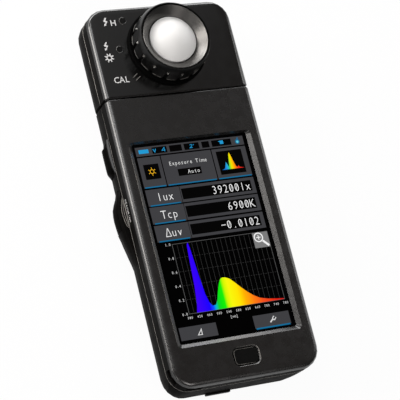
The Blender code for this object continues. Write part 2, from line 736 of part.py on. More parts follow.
def power_hole_cutter():
    hole = power_outline(SEAT)
    mouth = power_outline(SEAT + POWER_CHAMFER)
    levels = [(LIP_Z - OVERRUN, hole), (THICKNESS - POWER_CHAMFER_DEPTH, hole), (THICKNESS, mouth),
              (THICKNESS + OVERRUN, mouth)]
    return add_cutter("power_cut",
                      loft_mesh("power_cut", [[(x, y, z) for x, y in ring] for z, ring in levels]))


def power_pocket():
    """Low and high (x, y) of the pocket behind the power button."""
    half_x = POWER_WIDTH / 2 + POWER_POCKET_SIDE
    half_y = POWER_HEIGHT / 2 + POWER_POCKET_END
    return (POWER_X - half_x, POWER_Y - half_y), (POWER_X + half_x, POWER_Y + half_y)


def eyelet_cutter():
    """A tunnel that bends round the corner post, on two quarter ellipses."""
    corner = (-HALF_WIDTH, BODY_BOTTOM)
    sweep = QUARTER_TURN + 2 * EYELET_OVERSHOOT
    angles = [sweep * step / EYELET_STEPS - EYELET_OVERSHOOT for step in range(EYELET_STEPS + 1)]
    inner = [(corner[0] + EYELET_INNER_X * math.cos(a),
              corner[1] + EYELET_INNER_Y * math.sin(a)) for a in angles]
    outer = [(corner[0] + EYELET_OUTER_X * math.cos(a),
              corner[1] + EYELET_OUTER_Y * math.sin(a)) for a in angles]
    outline = outer + inner[::-1]
    return add_cutter("eyelet_cut", plate_mesh("eyelet_cut", outline, EYELET_Z, EYELET_Z + EYELET_HEIGHT))


def make_front_shell():
    shell = add_piece("front_shell", loft_mesh("front_shell", front_rings(BODY_BOTTOM, BODY_TOP, False)),
                      "shell")
    half = LCD_WIDTH / 2 + SEAT
    low = (-half, LCD_BOTTOM - SEAT, FRONT_LOW - OVERRUN)
    cut(shell, add_cutter("display_room", box_mesh("display_room", low, (half, BODY_TOP - END_WALL, LIP_Z))))
    (x_low, y_low), (x_high, y_high) = power_pocket()
    pocket = box_mesh("power_room", (x_low, y_low, FRONT_LOW - OVERRUN), (x_high, y_high, LIP_Z))
    cut(shell, add_cutter("power_room", pocket))
    cut(shell, window_cutter())
    cut(shell, power_hole_cutter())
    cut(shell, eyelet_cutter())
    bosses = round_bodies("front_bosses", BODY_SCREWS[2:], FRONT_LOW, LIP_Z - FRONT_LOW + LIP_THICKNESS / 2,
                          FRONT_BOSS_RADIUS)
    join(shell, add_cutter("front_bosses", bosses))
    drill_screws(shell, "front", BODY_SCREWS, False)
    cut(shell, swivel_cutter("front_swivel_cut", SPINDLE_RADIUS + BUSH_WALL + 2 * SEAT))
    return shell


def door_opening():
    """Low and high corners of the battery door's opening."""
    low = (-DOOR_HALF - SEAT, DOOR_BOTTOM - SEAT, -OVERRUN)
    high = (DOOR_HALF + SEAT, DOOR_AXIS_Y + DOOR_BARREL_RADIUS + SEAT, WALL + OVERRUN)
    return low, high


def key_hole(low, length, z, height):
    """Low and high corners of a side key's hole."""
    bottom = BODY_BOTTOM + low
    return ((-HALF_WIDTH - MEASURE_PROUD - OVERRUN, bottom, z),
            (-KEY_INSIDE + KEY_TAB_THICKNESS + MEASURE_TRAVEL, bottom + length, z + height))


def cover_room():
    """Low and high corners of the shallow recess for the terminal cover."""
    bottom = BODY_BOTTOM + COVER_LOW
    depth = COVER_THICKNESS + SEAT
    low = (HALF_WIDTH - depth, bottom - COVER_THICKNESS / 2 - SEAT, COVER_Z - SEAT)
    return low, (HALF_WIDTH + OVERRUN, bottom + COVER_LENGTH + SEAT, COVER_Z + COVER_HEIGHT + SEAT)


USB_Y = BODY_BOTTOM + COVER_LOW + USB_FROM_COVER
USB_Z = COVER_Z + COVER_HEIGHT / 2
SYNC_Y = BODY_BOTTOM + COVER_LOW + SYNC_FROM_COVER
SYNC_Z = COVER_Z + COVER_HEIGHT / 2
TERMINAL_FACE = HALF_WIDTH - COVER_THICKNESS - 2 * SEAT


def make_rear_shell():
    rings = rear_rings(BODY_BOTTOM, BODY_TOP, False, left_points=swell_stations())
    shell = add_piece("rear_shell", loft_mesh("rear_shell", rings), "shell")
    hollow = loft_mesh("body_hollow", rear_rings(BODY_BOTTOM, BODY_TOP, False, WALL, END_WALL))
    cut(shell, add_cutter("body_hollow", hollow))
    bosses = round_bodies("rear_bosses", BODY_SCREWS, WALL / 2, REAR_HIGH - WALL / 2, BOSS_RADIUS)
    join(shell, add_cutter("rear_bosses", bosses))
    tripod = rod_mesh("tripod_boss", (0, TRIPOD_Y, WALL / 2), TRIPOD_DEPTH,
                      TRIPOD_INSERT_RADIUS + TRIPOD_BOSS_WALL,
                      sides=BORE_SIDES)
    join(shell, add_cutter("tripod_boss", tripod))
    lug_low = DOOR_AXIS_Y - DOOR_BARREL_RADIUS
    lug_high = DOOR_AXIS_Y + DOOR_BARREL_RADIUS
    lug_start = DOOR_HALF + SEAT
    lugs = [box_mesh("lug", (min(side * lug_start, side * (lug_start + DOOR_LUG_WIDTH)), lug_low, WALL / 2),
                     (max(side * lug_start, side * (lug_start + DOOR_LUG_WIDTH)), lug_high,
                      WALL + DOOR_LUG_RISE))
            for side in (-1, 1)]
    join(shell, add_cutter("door_lugs", merge_meshes("door_lugs", lugs)))
    drill_screws(shell, "rear", BODY_SCREWS, True)
    cut(shell,
        add_cutter("tripod_cut", rod_mesh("tripod_cut", (0, TRIPOD_Y, -OVERRUN), TRIPOD_DEPTH + OVERRUN,
                                                 TRIPOD_INSERT_RADIUS + SEAT, sides=BORE_SIDES)))
    cut(shell, add_cutter("door_cut", box_mesh("door_cut", *door_opening())))
    pin_reach = DOOR_HALF + DOOR_LUG_WIDTH
    cut(shell,
        add_cutter("pin_cut", rod_mesh("pin_cut", (-pin_reach, DOOR_AXIS_Y, DOOR_AXIS_Z), 2 * pin_reach,
                                              DOOR_PIN_RADIUS + SEAT, "X")))
    latch_low = (LATCH_X - LATCH_WIDTH / 2 - SEAT, BODY_BOTTOM - OVERRUN, LATCH_Z - SEAT)
    latch_high = (LATCH_X + LATCH_WIDTH / 2 + LATCH_TRAVEL + SEAT, BODY_BOTTOM + WALL + OVERRUN,
                  LATCH_Z + LATCH_HEIGHT + SEAT)
    cut(shell, add_cutter("latch_cut", box_mesh("latch_cut", latch_low, latch_high)))
    cut(shell,
        add_cutter("measure_cut", box_mesh("measure_cut", *key_hole(MEASURE_LOW, MEASURE_LENGTH, MEASURE_Z,
                                                                            MEASURE_HEIGHT))))
    cut(shell, add_cutter("memory_cut", box_mesh("memory_cut", *key_hole(MEMORY_LOW, MEMORY_LENGTH, MEMORY_Z,
                                                                          MEMORY_HEIGHT))))
    cut(shell, add_cutter("cover_cut", box_mesh("cover_cut", *cover_room())))
    usb_half = (USB_WIDTH / 2 + SEAT, USB_HEIGHT / 2 + SEAT)
    usb_low = (TERMINAL_FACE - USB_DEPTH, USB_Y - usb_half[0], USB_Z - usb_half[1])
    usb_high = (HALF_WIDTH, USB_Y + usb_half[0], USB_Z + usb_half[1])
    cut(shell, add_cutter("usb_cut", box_mesh("usb_cut", usb_low, usb_high)))
    cut(shell, add_cutter("sync_cut", rod_mesh("sync_cut", (TERMINAL_FACE - SYNC_DEPTH, SYNC_Y, SYNC_Z),
                                               SYNC_DEPTH + OVERRUN, SYNC_RADIUS + SEAT, "X")))
    cut(shell, swivel_cutter("rear_swivel_cut", SPINDLE_RADIUS + BUSH_WALL + 2 * SEAT))
    return shell


def make_screws(name, places):
    """Pan-head screws with a round driver socket, each its own piece."""
    head_low = SCREW_HEAD_DEPTH - SEAT - SCREW_HEAD_HEIGHT
    for number, (x, y) in enumerate(places, 1):
        label = f"{name}_{number}"
        head = rod_mesh(label, (x, y, head_low), SCREW_HEAD_HEIGHT, SCREW_HEAD_RADIUS, sides=SMALL_SIDES)
        screw = add_piece(label, head, "steel")
        shank = rod_mesh(label + "_shank", (x, y, head_low + SCREW_HEAD_HEIGHT / 2), SCREW_LENGTH,
                         SCREW_RADIUS,
                         sides=SHANK_SIDES)
        join(screw, add_cutter(label + "_shank", shank))
        socket = rod_mesh(label + "_socket", (x, y, head_low - OVERRUN), OVERRUN + SCREW_SLOT_DEPTH,
                          SCREW_SLOT_RADIUS, sides=SOCKET_SIDES)
        cut(screw, add_cutter(label + "_socket", socket))


# Display and boards

def make_display():
    outline = sight_outline(GLASS_MARGIN, GLASS_MARGIN, GLASS_MARGIN, BEVEL_CORNER_RADIUS)
    add_piece("display_glass", plate_mesh("display_glass", outline, GLASS_TOP - GLASS_THICKNESS, GLASS_TOP),
              "glass")
    half = LCD_WIDTH / 2
    top = LCD_BOTTOM + LCD_LENGTH
    panel = box_mesh("lcd_module", (-half, LCD_BOTTOM, LCD_TOP - LCD_THICKNESS), (half, top, LCD_TOP))
    soften(add_piece("lcd_module", panel, "panel"), LCD_EDGE, 1)
    chassis_low = CHASSIS_TOP - CHASSIS_THICKNESS
    chassis = add_piece("lcd_chassis", box_mesh("lcd_chassis", (-half, LCD_BOTTOM, chassis_low),
                                                (half, top, CHASSIS_TOP)), "steel")
    middle = LCD_BOTTOM + LCD_LENGTH / 2
    opening = rounded_outline(LCD_WIDTH * CHASSIS_WINDOW_SHARE, LCD_LENGTH * CHASSIS_WINDOW_SHARE,
                              CORNER_RADIUS, 0, middle, HOLLOW_CORNER_STEPS)
    cut(chassis, add_cutter("chassis_window", plate_mesh("chassis_window", opening, chassis_low - OVERRUN,
                                                         CHASSIS_TOP + OVERRUN)))


def under_board_disc(name, x, radius, height, colour):
    y = BODY_BOTTOM + CHIP_ROW_FROM_BOTTOM
    disc = rod_mesh(name, (x, y, BOARD_LOW - SEAT - height), height, radius, sides=SMALL_SIDES)
    return add_piece(name, disc, colour)


def make_boards():
    half = LCD_WIDTH / 2 - BOARD_MARGIN
    top = LCD_BOTTOM + LCD_LENGTH - BOARD_MARGIN
    board = box_mesh("main_board", (-half, LCD_BOTTOM + BOARD_MARGIN, BOARD_LOW), (half, top, BOARD_TOP))
    add_piece("main_board", board, "board")
    shield_low = BODY_BOTTOM + SHIELD_FROM_BOTTOM
    shield = box_mesh("shield_can", (-SHIELD_WIDTH / 2, shield_low, BOARD_LOW - SEAT - SHIELD_HEIGHT),
                      (SHIELD_WIDTH / 2, shield_low + SHIELD_LENGTH, BOARD_LOW - SEAT))
    soften(add_piece("shield_can", shield, "steel"), SHIELD_EDGE, 1)
    under_board_disc("backup_cell", BACKUP_CELL_X, BACKUP_CELL_RADIUS, BACKUP_CELL_HEIGHT, "steel")
    under_board_disc("buzzer", BUZZER_X, BUZZER_RADIUS, BUZZER_HEIGHT, "black_part")
    end = HARNESS_END - SEAT
    top = BOARD_LOW - SEAT
    plug = box_mesh("harness_connector", (-CONNECTOR_WIDTH / 2, end - CONNECTOR_LENGTH, top - CONNECTOR_DROP),
                    (CONNECTOR_WIDTH / 2, end, top))
    soften(add_piece("harness_connector", plug, "black_part"), SHIELD_EDGE, 1)


# Battery compartment

def make_cells():
    shoulder = CELL_LENGTH - CELL_NUB_LENGTH
    profile = [(0, CELL_LENGTH), (CELL_NUB_RADIUS, CELL_LENGTH), (CELL_NUB_RADIUS, shoulder),
               (CELL_RADIUS - CELL_EDGE, shoulder), (CELL_RADIUS, shoulder - CELL_EDGE),
               (CELL_RADIUS, CELL_EDGE),
               (CELL_RADIUS - CELL_EDGE, 0), (0, 0)]
    left = turned_piece("cell_left", profile, (-CELL_X, CELL_BOTTOM, CELL_Z), "cell", "Y", BORE_SIDES)
    right = turned_piece("cell_right", profile, (CELL_X, CELL_BOTTOM, CELL_Z), "cell", "Y", BORE_SIDES)
    return left, right


def make_tray():
    """The moulded compartment, open towards the battery door."""
    floor = WALL + SEAT
    roof = CELL_Z + CELL_RADIUS + SEAT + TRAY_WALL
    tray = add_piece("battery_tray", box_mesh("battery_tray", (-TRAY_HALF, TRAY_BOTTOM, floor),
                                              (TRAY_HALF, TRAY_TOP, roof)), "black_part")
    inner_low = (-TRAY_HALF + TRAY_WALL, TRAY_BOTTOM + TRAY_WALL, floor - OVERRUN)
    inner_high = (TRAY_HALF - TRAY_WALL, TRAY_TOP - TRAY_WALL, roof - TRAY_WALL)
    cut(tray, add_cutter("tray_room", box_mesh("tray_room", inner_low, inner_high)))
    return tray


def contact_box(name, x_low, x_high, y_low):
    return box_mesh(name, (x_low - CONTACT_WIDTH / 2, y_low, CELL_Z - CONTACT_HEIGHT / 2),
                    (x_high + CONTACT_WIDTH / 2, y_low + CONTACT_THICKNESS, CELL_Z + CONTACT_HEIGHT / 2))


def make_contacts():
    """A bridge across both cells at one end, and a sprung contact for each at the other."""
    high = TRAY_TOP - TRAY_WALL - SEAT - CONTACT_THICKNESS
    add_piece("contact_bridge", contact_box("contact_bridge", -CELL_X, CELL_X, high), "gold")
    low = TRAY_BOTTOM + TRAY_WALL + SEAT
    for side, label in ((-1, "contact_left"), (1, "contact_right")):
        x = side * CELL_X
        plate = add_piece(label, contact_box(label, x, x, low), "gold")
        spring = rod_mesh(label + "_spring", (x, low + CONTACT_THICKNESS / 2, CELL_Z), SPRING_LENGTH + SEAT,
                          SPRING_BASE_RADIUS, "Y", SMALL_SIDES, SPRING_TIP_RADIUS)
        join(plate, add_cutter(label + "_spring", spring))


def make_door():
    """The battery door: a plate on a barrel that turns on its pin."""
    door = add_piece("battery_door", box_mesh("battery_door", (-DOOR_HALF, DOOR_BOTTOM, 0),
                                              (DOOR_HALF, DOOR_AXIS_Y, DOOR_THICKNESS)), "shell")
    barrel = rod_mesh("door_barrel", (-DOOR_HALF, DOOR_AXIS_Y, DOOR_AXIS_Z), 2 * DOOR_HALF,
                      DOOR_BARREL_RADIUS, "X")
    join(door, add_cutter("door_barrel", barrel))
    bore = rod_mesh("door_bore", (-DOOR_HALF - OVERRUN, DOOR_AXIS_Y, DOOR_AXIS_Z), 2 * (DOOR_HALF + OVERRUN),
                    DOOR_PIN_RADIUS + SEAT, "X", FINE_SIDES)
    cut(door, add_cutter("door_bore", bore))
    grooves = []
    for index in range(DOOR_RIB_COUNT):
        y = DOOR_BOTTOM + DOOR_RIB_FROM_END + index * DOOR_RIB_PITCH
        grooves.append(box_mesh("groove", (-DOOR_RIB_LENGTH / 2, y, -OVERRUN),
                                (DOOR_RIB_LENGTH / 2, y + DOOR_RIB_WIDTH, DOOR_RIB_DEPTH)))
    cut(door, add_cutter("door_grooves", merge_meshes("door_grooves", grooves)))
    reach = DOOR_HALF + DOOR_LUG_WIDTH - SEAT
    pin = rod_mesh("door_hinge_pin", (-reach, DOOR_AXIS_Y, DOOR_AXIS_Z), 2 * reach, DOOR_PIN_RADIUS, "X",
                   FINE_SIDES)
    add_piece("door_hinge_pin", pin, "steel")
    return door


def make_latch():
    """The sliding latch: thumb piece outside, flange behind the end wall, tongue over the door's edge."""
    x_low = LATCH_X - LATCH_WIDTH / 2
    x_high = LATCH_X + LATCH_WIDTH / 2
    inside = BODY_BOTTOM + WALL + edge_inset(LATCH_Z - WALL, BACK_END_RADIUS - WALL) + SEAT
    thumb = box_mesh("door_latch", (x_low, BODY_BOTTOM - LATCH_PROUD, LATCH_Z),
                     (x_high, inside + LATCH_FLANGE_THICKNESS, LATCH_Z + LATCH_HEIGHT))
    latch = soften(add_piece("door_latch", thumb, "key"), LATCH_EDGE, 2)
    flange = box_mesh("latch_flange", (x_low - LATCH_FLANGE, inside, LATCH_Z),
                      (x_high + LATCH_FLANGE, inside + LATCH_FLANGE_THICKNESS,
                       LATCH_Z + LATCH_HEIGHT + LATCH_FLANGE))
    join(latch, add_cutter("latch_flange", flange))
    tongue_low = max(LATCH_Z, WALL + SEAT)
    tongue = box_mesh("latch_tongue", (LATCH_X - LATCH_TONGUE_WIDTH / 2, inside, tongue_low),
                      (LATCH_X + LATCH_TONGUE_WIDTH / 2, TRAY_BOTTOM - SEAT,
                       tongue_low + LATCH_TONGUE_THICKNESS))
    join(latch, add_cutter("latch_tongue", tongue))
    return latch


def make_tripod_insert():
    wall = TRIPOD_INSERT_RADIUS
    profile = [(wall, TRIPOD_DEPTH - SEAT), (wall, 0), (TRIPOD_THREAD_RADIUS, 0),
               (TRIPOD_THREAD_RADIUS, TRIPOD_DEPTH - SEAT)]
    return turned_piece("tripod_insert", profile, (0, TRIPOD_Y, 0), "brass", sides=BORE_SIDES)


# Keys and switches

def make_power_button():
    top = THICKNESS - POWER_SUNK
    flange_top = LIP_Z - SEAT
    levels = [(flange_top - POWER_FLANGE_THICKNESS / 2, power_outline(0)),
              (top - POWER_EDGE, power_outline(0)),
              (top - POWER_EDGE / 3, power_outline(-POWER_EDGE / 3)), (top, power_outline(-POWER_EDGE))]
    cap = loft_mesh("power_button", [[(x, y, z) for x, y in ring] for z, ring in levels])
    button = add_piece("power_button", cap, "key")
    flange = plate_mesh("power_flange", power_outline(POWER_FLANGE), flange_top - POWER_FLANGE_THICKNESS,
                        flange_top)
    join(button, add_cutter("power_flange", flange))
    stem_low = flange_top - POWER_FLANGE_THICKNESS - POWER_STEM_LENGTH
    stem = rod_mesh("power_stem", (POWER_X, POWER_Y, stem_low),
                    POWER_STEM_LENGTH + POWER_FLANGE_THICKNESS / 2,
                    POWER_STEM_RADIUS, sides=FINE_SIDES)
    join(button, add_cutter("power_stem", stem))
    switch_top = stem_low - POWER_TRAVEL - SEAT
    board_low = FRONT_LOW + SEAT
    board_top = board_low + KEY_BOARD_THICKNESS
    (x_low, y_low), (x_high, y_high) = power_pocket()
    board = box_mesh("power_board", (x_low + SEAT, y_low + SEAT, board_low),
                     (x_high - SEAT, y_high - SEAT, board_top))
    add_piece("power_board", board, "board")
    half = SWITCH_SIZE / 2
    switch = box_mesh("power_switch", (POWER_X - half, POWER_Y - half, board_top + SEAT),
                      (POWER_X + half, POWER_Y + half, switch_top))
    soften(add_piece("power_switch", switch, "steel"), SWITCH_EDGE, 1)
    return button


def side_key(name, low, length, z, height, proud, crown):
    """A key that fills its hole in the left wall, lofted along Y, with a tab at each end inside."""
    bottom = BODY_BOTTOM + low + SEAT
    length -= 2 * SEAT
    z_low = z + SEAT
    height -= 2 * SEAT
    rings = []
    for place, rise in crown:
        y = bottom + place * length
        ring = [(-KEY_INSIDE, y, z_low)]
        for up, share in KEY_SIDE_SHARES:
            level = z_low + up * height
            wall = HALF_WIDTH - edge_inset(level, BACK_SIDE_RADIUS)
            ring.append((-wall - proud * rise * share, y, level))
        ring.append((-KEY_INSIDE, y, z_low + height))
        rings.append(ring)
    key = add_piece(name, loft_mesh(name, rings), "key")
    tab = box_mesh(name + "_tab", (-KEY_INSIDE, bottom - KEY_TAB, z_low + KEY_TAB_LIFT),
                   (-KEY_INSIDE + KEY_TAB_THICKNESS, bottom + length + KEY_TAB, z_low + height))
    join(key, add_cutter(name + "_tab", tab))
    return key


def make_side_keys():
    side_key("measure_button", MEASURE_LOW, MEASURE_LENGTH, MEASURE_Z, MEASURE_HEIGHT, MEASURE_PROUD,
             MEASURE_CROWN_SHARES)
    side_key("memory_button", MEMORY_LOW, MEMORY_LENGTH, MEMORY_Z, MEMORY_HEIGHT, MEMORY_PROUD,
             MEMORY_CROWN_SHARES)
    back = -KEY_INSIDE + KEY_TAB_THICKNESS + MEASURE_TRAVEL + SEAT + KEY_SWITCH_DEPTH
    half = SWITCH_SIZE / 2
    for name, low, length, z, height, travel in (
            ("measure_switch", MEASURE_LOW, MEASURE_LENGTH, MEASURE_Z, MEASURE_HEIGHT, MEASURE_TRAVEL),
            ("memory_switch", MEMORY_LOW, MEMORY_LENGTH, MEMORY_Z, MEMORY_HEIGHT, MEMORY_TRAVEL)):
        y = BODY_BOTTOM + low + length / 2
        middle = z + height / 2
        face = -KEY_INSIDE + KEY_TAB_THICKNESS + travel + SEAT
        switch = box_mesh(name, (face, y - half, middle - half), (back, y + half, middle + half))
        soften(add_piece(name, switch, "steel"), SWITCH_EDGE, 1)
    board_x = back + SEAT
    inner = HALF_WIDTH - WALL + board_x
    radius = BACK_SIDE_RADIUS - WALL
    floor = WALL + radius - math.sqrt(radius ** 2 - (radius - inner) ** 2) + SEAT
    board = box_mesh("side_key_board", (board_x, BODY_BOTTOM + MEASURE_LOW, floor),
                     (board_x + KEY_BOARD_THICKNESS, BODY_BOTTOM + MEMORY_LOW + MEMORY_LENGTH,
                      BOARD_LOW - SEAT))
    add_piece("side_key_board", board, "board")


# Terminals

def make_usb_port():
    usb = add_piece("usb_port", box_mesh("usb_port", (TERMINAL_FACE - USB_DEPTH, USB_Y - USB_WIDTH / 2,
                                                      USB_Z - USB_HEIGHT / 2),
                                         (TERMINAL_FACE, USB_Y + USB_WIDTH / 2, USB_Z + USB_HEIGHT / 2)),
                    "steel")
    stand = box_mesh("usb_stand", (TERMINAL_FACE - USB_DEPTH, USB_Y - USB_WIDTH / 2, USB_Z),
                     (TERMINAL_FACE - USB_DEPTH + USB_STAND_DEPTH, USB_Y + USB_WIDTH / 2, BOARD_LOW - SEAT))
    join(usb, add_cutter("usb_stand", stand))
    room_low = (TERMINAL_FACE - USB_SOCKET_DEPTH, USB_Y - USB_WIDTH / 2 + USB_WALL,
                USB_Z - USB_HEIGHT / 2 + USB_WALL)
    room_high = (TERMINAL_FACE + OVERRUN, USB_Y + USB_WIDTH / 2 - USB_WALL, USB_Z + USB_HEIGHT / 2 - USB_WALL)
    cut(usb, add_cutter("usb_room", box_mesh("usb_room", room_low, room_high)))
    return usb


def make_sync_terminal():
    floor = SYNC_DEPTH - SYNC_SOCKET_DEPTH
    profile = [(0, SYNC_DEPTH), (SYNC_PIN_RADIUS, SYNC_DEPTH), (SYNC_PIN_RADIUS, floor),
               (SYNC_BORE_RADIUS, floor),
               (SYNC_BORE_RADIUS, SYNC_DEPTH), (SYNC_RADIUS, SYNC_DEPTH), (SYNC_RADIUS, 0), (0, 0)]
    centre = (TERMINAL_FACE - SYNC_DEPTH, SYNC_Y, SYNC_Z)
    return turned_piece("sync_terminal", profile, centre, "steel", "X", SMALL_SIDES)


def make_terminal_cover():
    """A rubber flap, cut from the housing's own form so that it lies flush."""
    low, high = cover_room()
    bottom = BODY_BOTTOM + COVER_LOW
    block = box_mesh("terminal_cover",
                     (HALF_WIDTH - COVER_THICKNESS, bottom - COVER_THICKNESS / 2, low[2] + SEAT),
                     (HALF_WIDTH + OVERRUN, high[1] - SEAT, high[2] - SEAT))
    cover = add_piece("terminal_cover", block, "rubber")
    rings = rear_rings(BODY_BOTTOM, BODY_TOP, False)
    combine(cover, add_cutter("rear_form", loft_mesh("rear_form", rings)), "INTERSECT")
    return cover


# Swivel

def make_swivel():
    wall = SPINDLE_RADIUS + SEAT
    bush_radius = wall + BUSH_WALL
    inner_face = BODY_TOP - END_WALL - SEAT
    bush_length = END_WALL + SEAT
    flange_low = inner_face - BUSH_FLANGE_THICKNESS
    flange = bush_radius + BUSH_FLANGE
    bush = [(bush_radius, bush_length + BUSH_FLANGE_THICKNESS), (bush_radius, BUSH_FLANGE_THICKNESS),
            (flange, BUSH_FLANGE_THICKNESS), (flange, 0), (wall, 0),
            (wall, bush_length + BUSH_FLANGE_THICKNESS)]
    turned_piece("swivel_bush", bush, (0, flange_low, SWIVEL_Z), "brass", "Y", BORE_SIDES)
    head_inside = HEAD_BOTTOM + END_WALL + SEAT
    clip_high = flange_low - SEAT
    clip_low = clip_high - CLIP_THICKNESS
    start = clip_low - SPINDLE_TAIL
    groove = SPINDLE_RADIUS - CLIP_GROOVE_DEPTH
    top = head_inside + SPINDLE_FLANGE_THICKNESS
    spindle = [(SPINDLE_FLANGE_RADIUS, top - start), (SPINDLE_FLANGE_RADIUS, head_inside - start),
               (SPINDLE_RADIUS, head_inside - start), (SPINDLE_RADIUS, clip_high + SEAT / 2 - start),
               (groove, clip_high + SEAT / 2 - start), (groove, clip_low - SEAT / 2 - start),
               (SPINDLE_RADIUS, clip_low - SEAT / 2 - start), (SPINDLE_RADIUS, 0), (SPINDLE_BORE_RADIUS, 0),
               (SPINDLE_BORE_RADIUS, top - start)]
    turned_piece("swivel_spindle", spindle, (0, start, SWIVEL_Z), "steel", "Y", BORE_SIDES)
    clip_bore = groove + SEAT / 2
    clip_edge = SPINDLE_RADIUS + CLIP_RIM
    clip = [(clip_edge, CLIP_THICKNESS), (clip_edge, 0), (clip_bore, 0), (clip_bore, CLIP_THICKNESS)]
    turned_piece("swivel_clip", clip, (0, clip_low, SWIVEL_Z), "steel", "Y", BORE_SIDES)
    length = top + HARNESS_HEAD_LENGTH - HARNESS_END
    harness = rod_mesh("head_harness", (0, HARNESS_END, SWIVEL_Z), length, HARNESS_RADIUS, "Y")
    add_piece("head_harness", harness, "lead")


# Head shells

def make_head_front():
    shell = add_piece("head_front_shell",
                      loft_mesh("head_front_shell", front_rings(HEAD_BOTTOM, HEAD_TOP, True)),
                      "shell")
    half = HALF_WIDTH - WALL
    radius = CORNER_RADIUS - WALL
    outline_low = HEAD_BOTTOM + END_WALL
    ring = housing_ring(0, half, outline_low, HEAD_TOP - WALL, SEAM_CORNER_RADIUS, radius,
                        steps=HOLLOW_CORNER_STEPS)
    room = loft_mesh("head_room",
                     [[(x, y, level) for x, y, z in ring] for level in (FRONT_LOW - OVERRUN, LIP_Z)])
    cut(shell, add_cutter("head_room", room))
    bosses = round_bodies("head_front_bosses", HEAD_SCREWS, FRONT_LOW, LIP_Z - FRONT_LOW + LIP_THICKNESS / 2,
                          FRONT_BOSS_RADIUS)
    join(shell, add_cutter("head_front_bosses", bosses))
    drill_screws(shell, "head_front", HEAD_SCREWS, False)
    neck = rod_mesh("neck_cut", (0, RECEPTOR_Y, LIP_Z - OVERRUN), LIP_THICKNESS + 2 * OVERRUN,
                    NECK_RADIUS + SEAT,
                    sides=ROUND_SIDES)
    cut(shell, add_cutter("neck_cut", neck))
    cut(shell, swivel_cutter("head_front_swivel_cut", SPINDLE_RADIUS + SEAT))
    return shell


def make_head_rear():
    shell = add_piece("head_rear_shell",
                      loft_mesh("head_rear_shell", rear_rings(HEAD_BOTTOM, HEAD_TOP, True)), "shell")
    hollow = loft_mesh("head_hollow", rear_rings(HEAD_BOTTOM, HEAD_TOP, True, WALL, END_WALL))
    cut(shell, add_cutter("head_hollow", hollow))
    bosses = round_bodies("head_rear_bosses", HEAD_SCREWS, WALL / 2, REAR_HIGH - WALL / 2, BOSS_RADIUS)
    join(shell, add_cutter("head_rear_bosses", bosses))
    drill_screws(shell, "head_rear", HEAD_SCREWS, True)
    cut(shell, swivel_cutter("head_rear_swivel_cut", SPINDLE_RADIUS + SEAT))
    return shell


# Receptor

def make_receptor_base():
    tail = -NECK_TAIL - SEAT
    edge = FLANGE_RADIUS - FLANGE_EDGE
    profile = [(NECK_RADIUS, NECK_TOP), (NECK_RADIUS, FLANGE_HEIGHT), (edge, FLANGE_HEIGHT),
               (FLANGE_RADIUS, FLANGE_HEIGHT - FLANGE_EDGE), (FLANGE_RADIUS, 0), (NECK_RADIUS, 0),
               (NECK_RADIUS, tail),
               (NECK_BORE_RADIUS, tail), (NECK_BORE_RADIUS, NECK_TOP)]
    base = turned_piece("receptor_base", profile, (0, RECEPTOR_Y, FLANGE_LOW), "black_part")
    arm = math.atan2(SHUTTER_ARM_WIDTH, NECK_RADIUS)
    start = QUARTER_TURN - RING_TURN_LOW - SLOT_MARGIN - arm / 2
    sweep = RING_TURN_LOW + RING_TURN_HIGH + 2 * SLOT_MARGIN + arm
    inner = arc_points(0, RECEPTOR_Y, NECK_BORE_RADIUS / 2, start, sweep, SLOT_STEPS)
    outer = arc_points(0, RECEPTOR_Y, NECK_RADIUS + OVERRUN, start, sweep, SLOT_STEPS)
    level = FLANGE_LOW + SHUTTER_Z
    slot = plate_mesh("shutter_slot", outer + inner[::-1], level - SEAT, level + SHUTTER_THICKNESS + SEAT)
    cut(base, add_cutter("shutter_slot", slot))
    return base


def make_dome():
    """A shallow spherical cap on a short skirt."""
    rise = DOME_TOP - DOME_EDGE_Z
    sphere = (DOME_RADIUS ** 2 + rise ** 2) / (2 * rise)
    spread = math.asin(DOME_RADIUS / sphere)
    centre = DOME_TOP - sphere
    outer = [(sphere * math.sin(spread * step / DOME_STEPS),
              centre + sphere * math.cos(spread * step / DOME_STEPS))
             for step in range(DOME_STEPS + 1)]
    inner_radius = DOME_RADIUS - DOME_WALL
    inner_sphere = sphere - DOME_WALL
    inner_spread = math.asin(inner_radius / inner_sphere)
    inner = [(inner_sphere * math.sin(inner_spread * step / DOME_INNER_STEPS),
              centre + inner_sphere * math.cos(inner_spread * step / DOME_INNER_STEPS))
             for step in range(DOME_INNER_STEPS, -1, -1)]
    skirt = DOME_EDGE_Z - DOME_SKIRT
    profile = outer + [(DOME_RADIUS, skirt), (inner_radius, skirt)] + inner
    profile[0] = (0, profile[0][1])
    profile[-1] = (0, profile[-1][1])
    return turned_piece("dome", profile, (0, RECEPTOR_Y, THICKNESS), "dome")


def grip_ring(radius, z, groove):
    """One level of the grip, with its evenly spaced grooves."""
    ring = []
    pitch = 2 * HALF_TURN / GROOVE_COUNT
    for index in range(GROOVE_COUNT):
        for offset, depth in GROOVE_SHARES:
            angle = (index + offset) * pitch
            reach = radius - depth * groove
            ring.append((reach * math.cos(angle), RECEPTOR_Y + reach * math.sin(angle), z))
    return ring


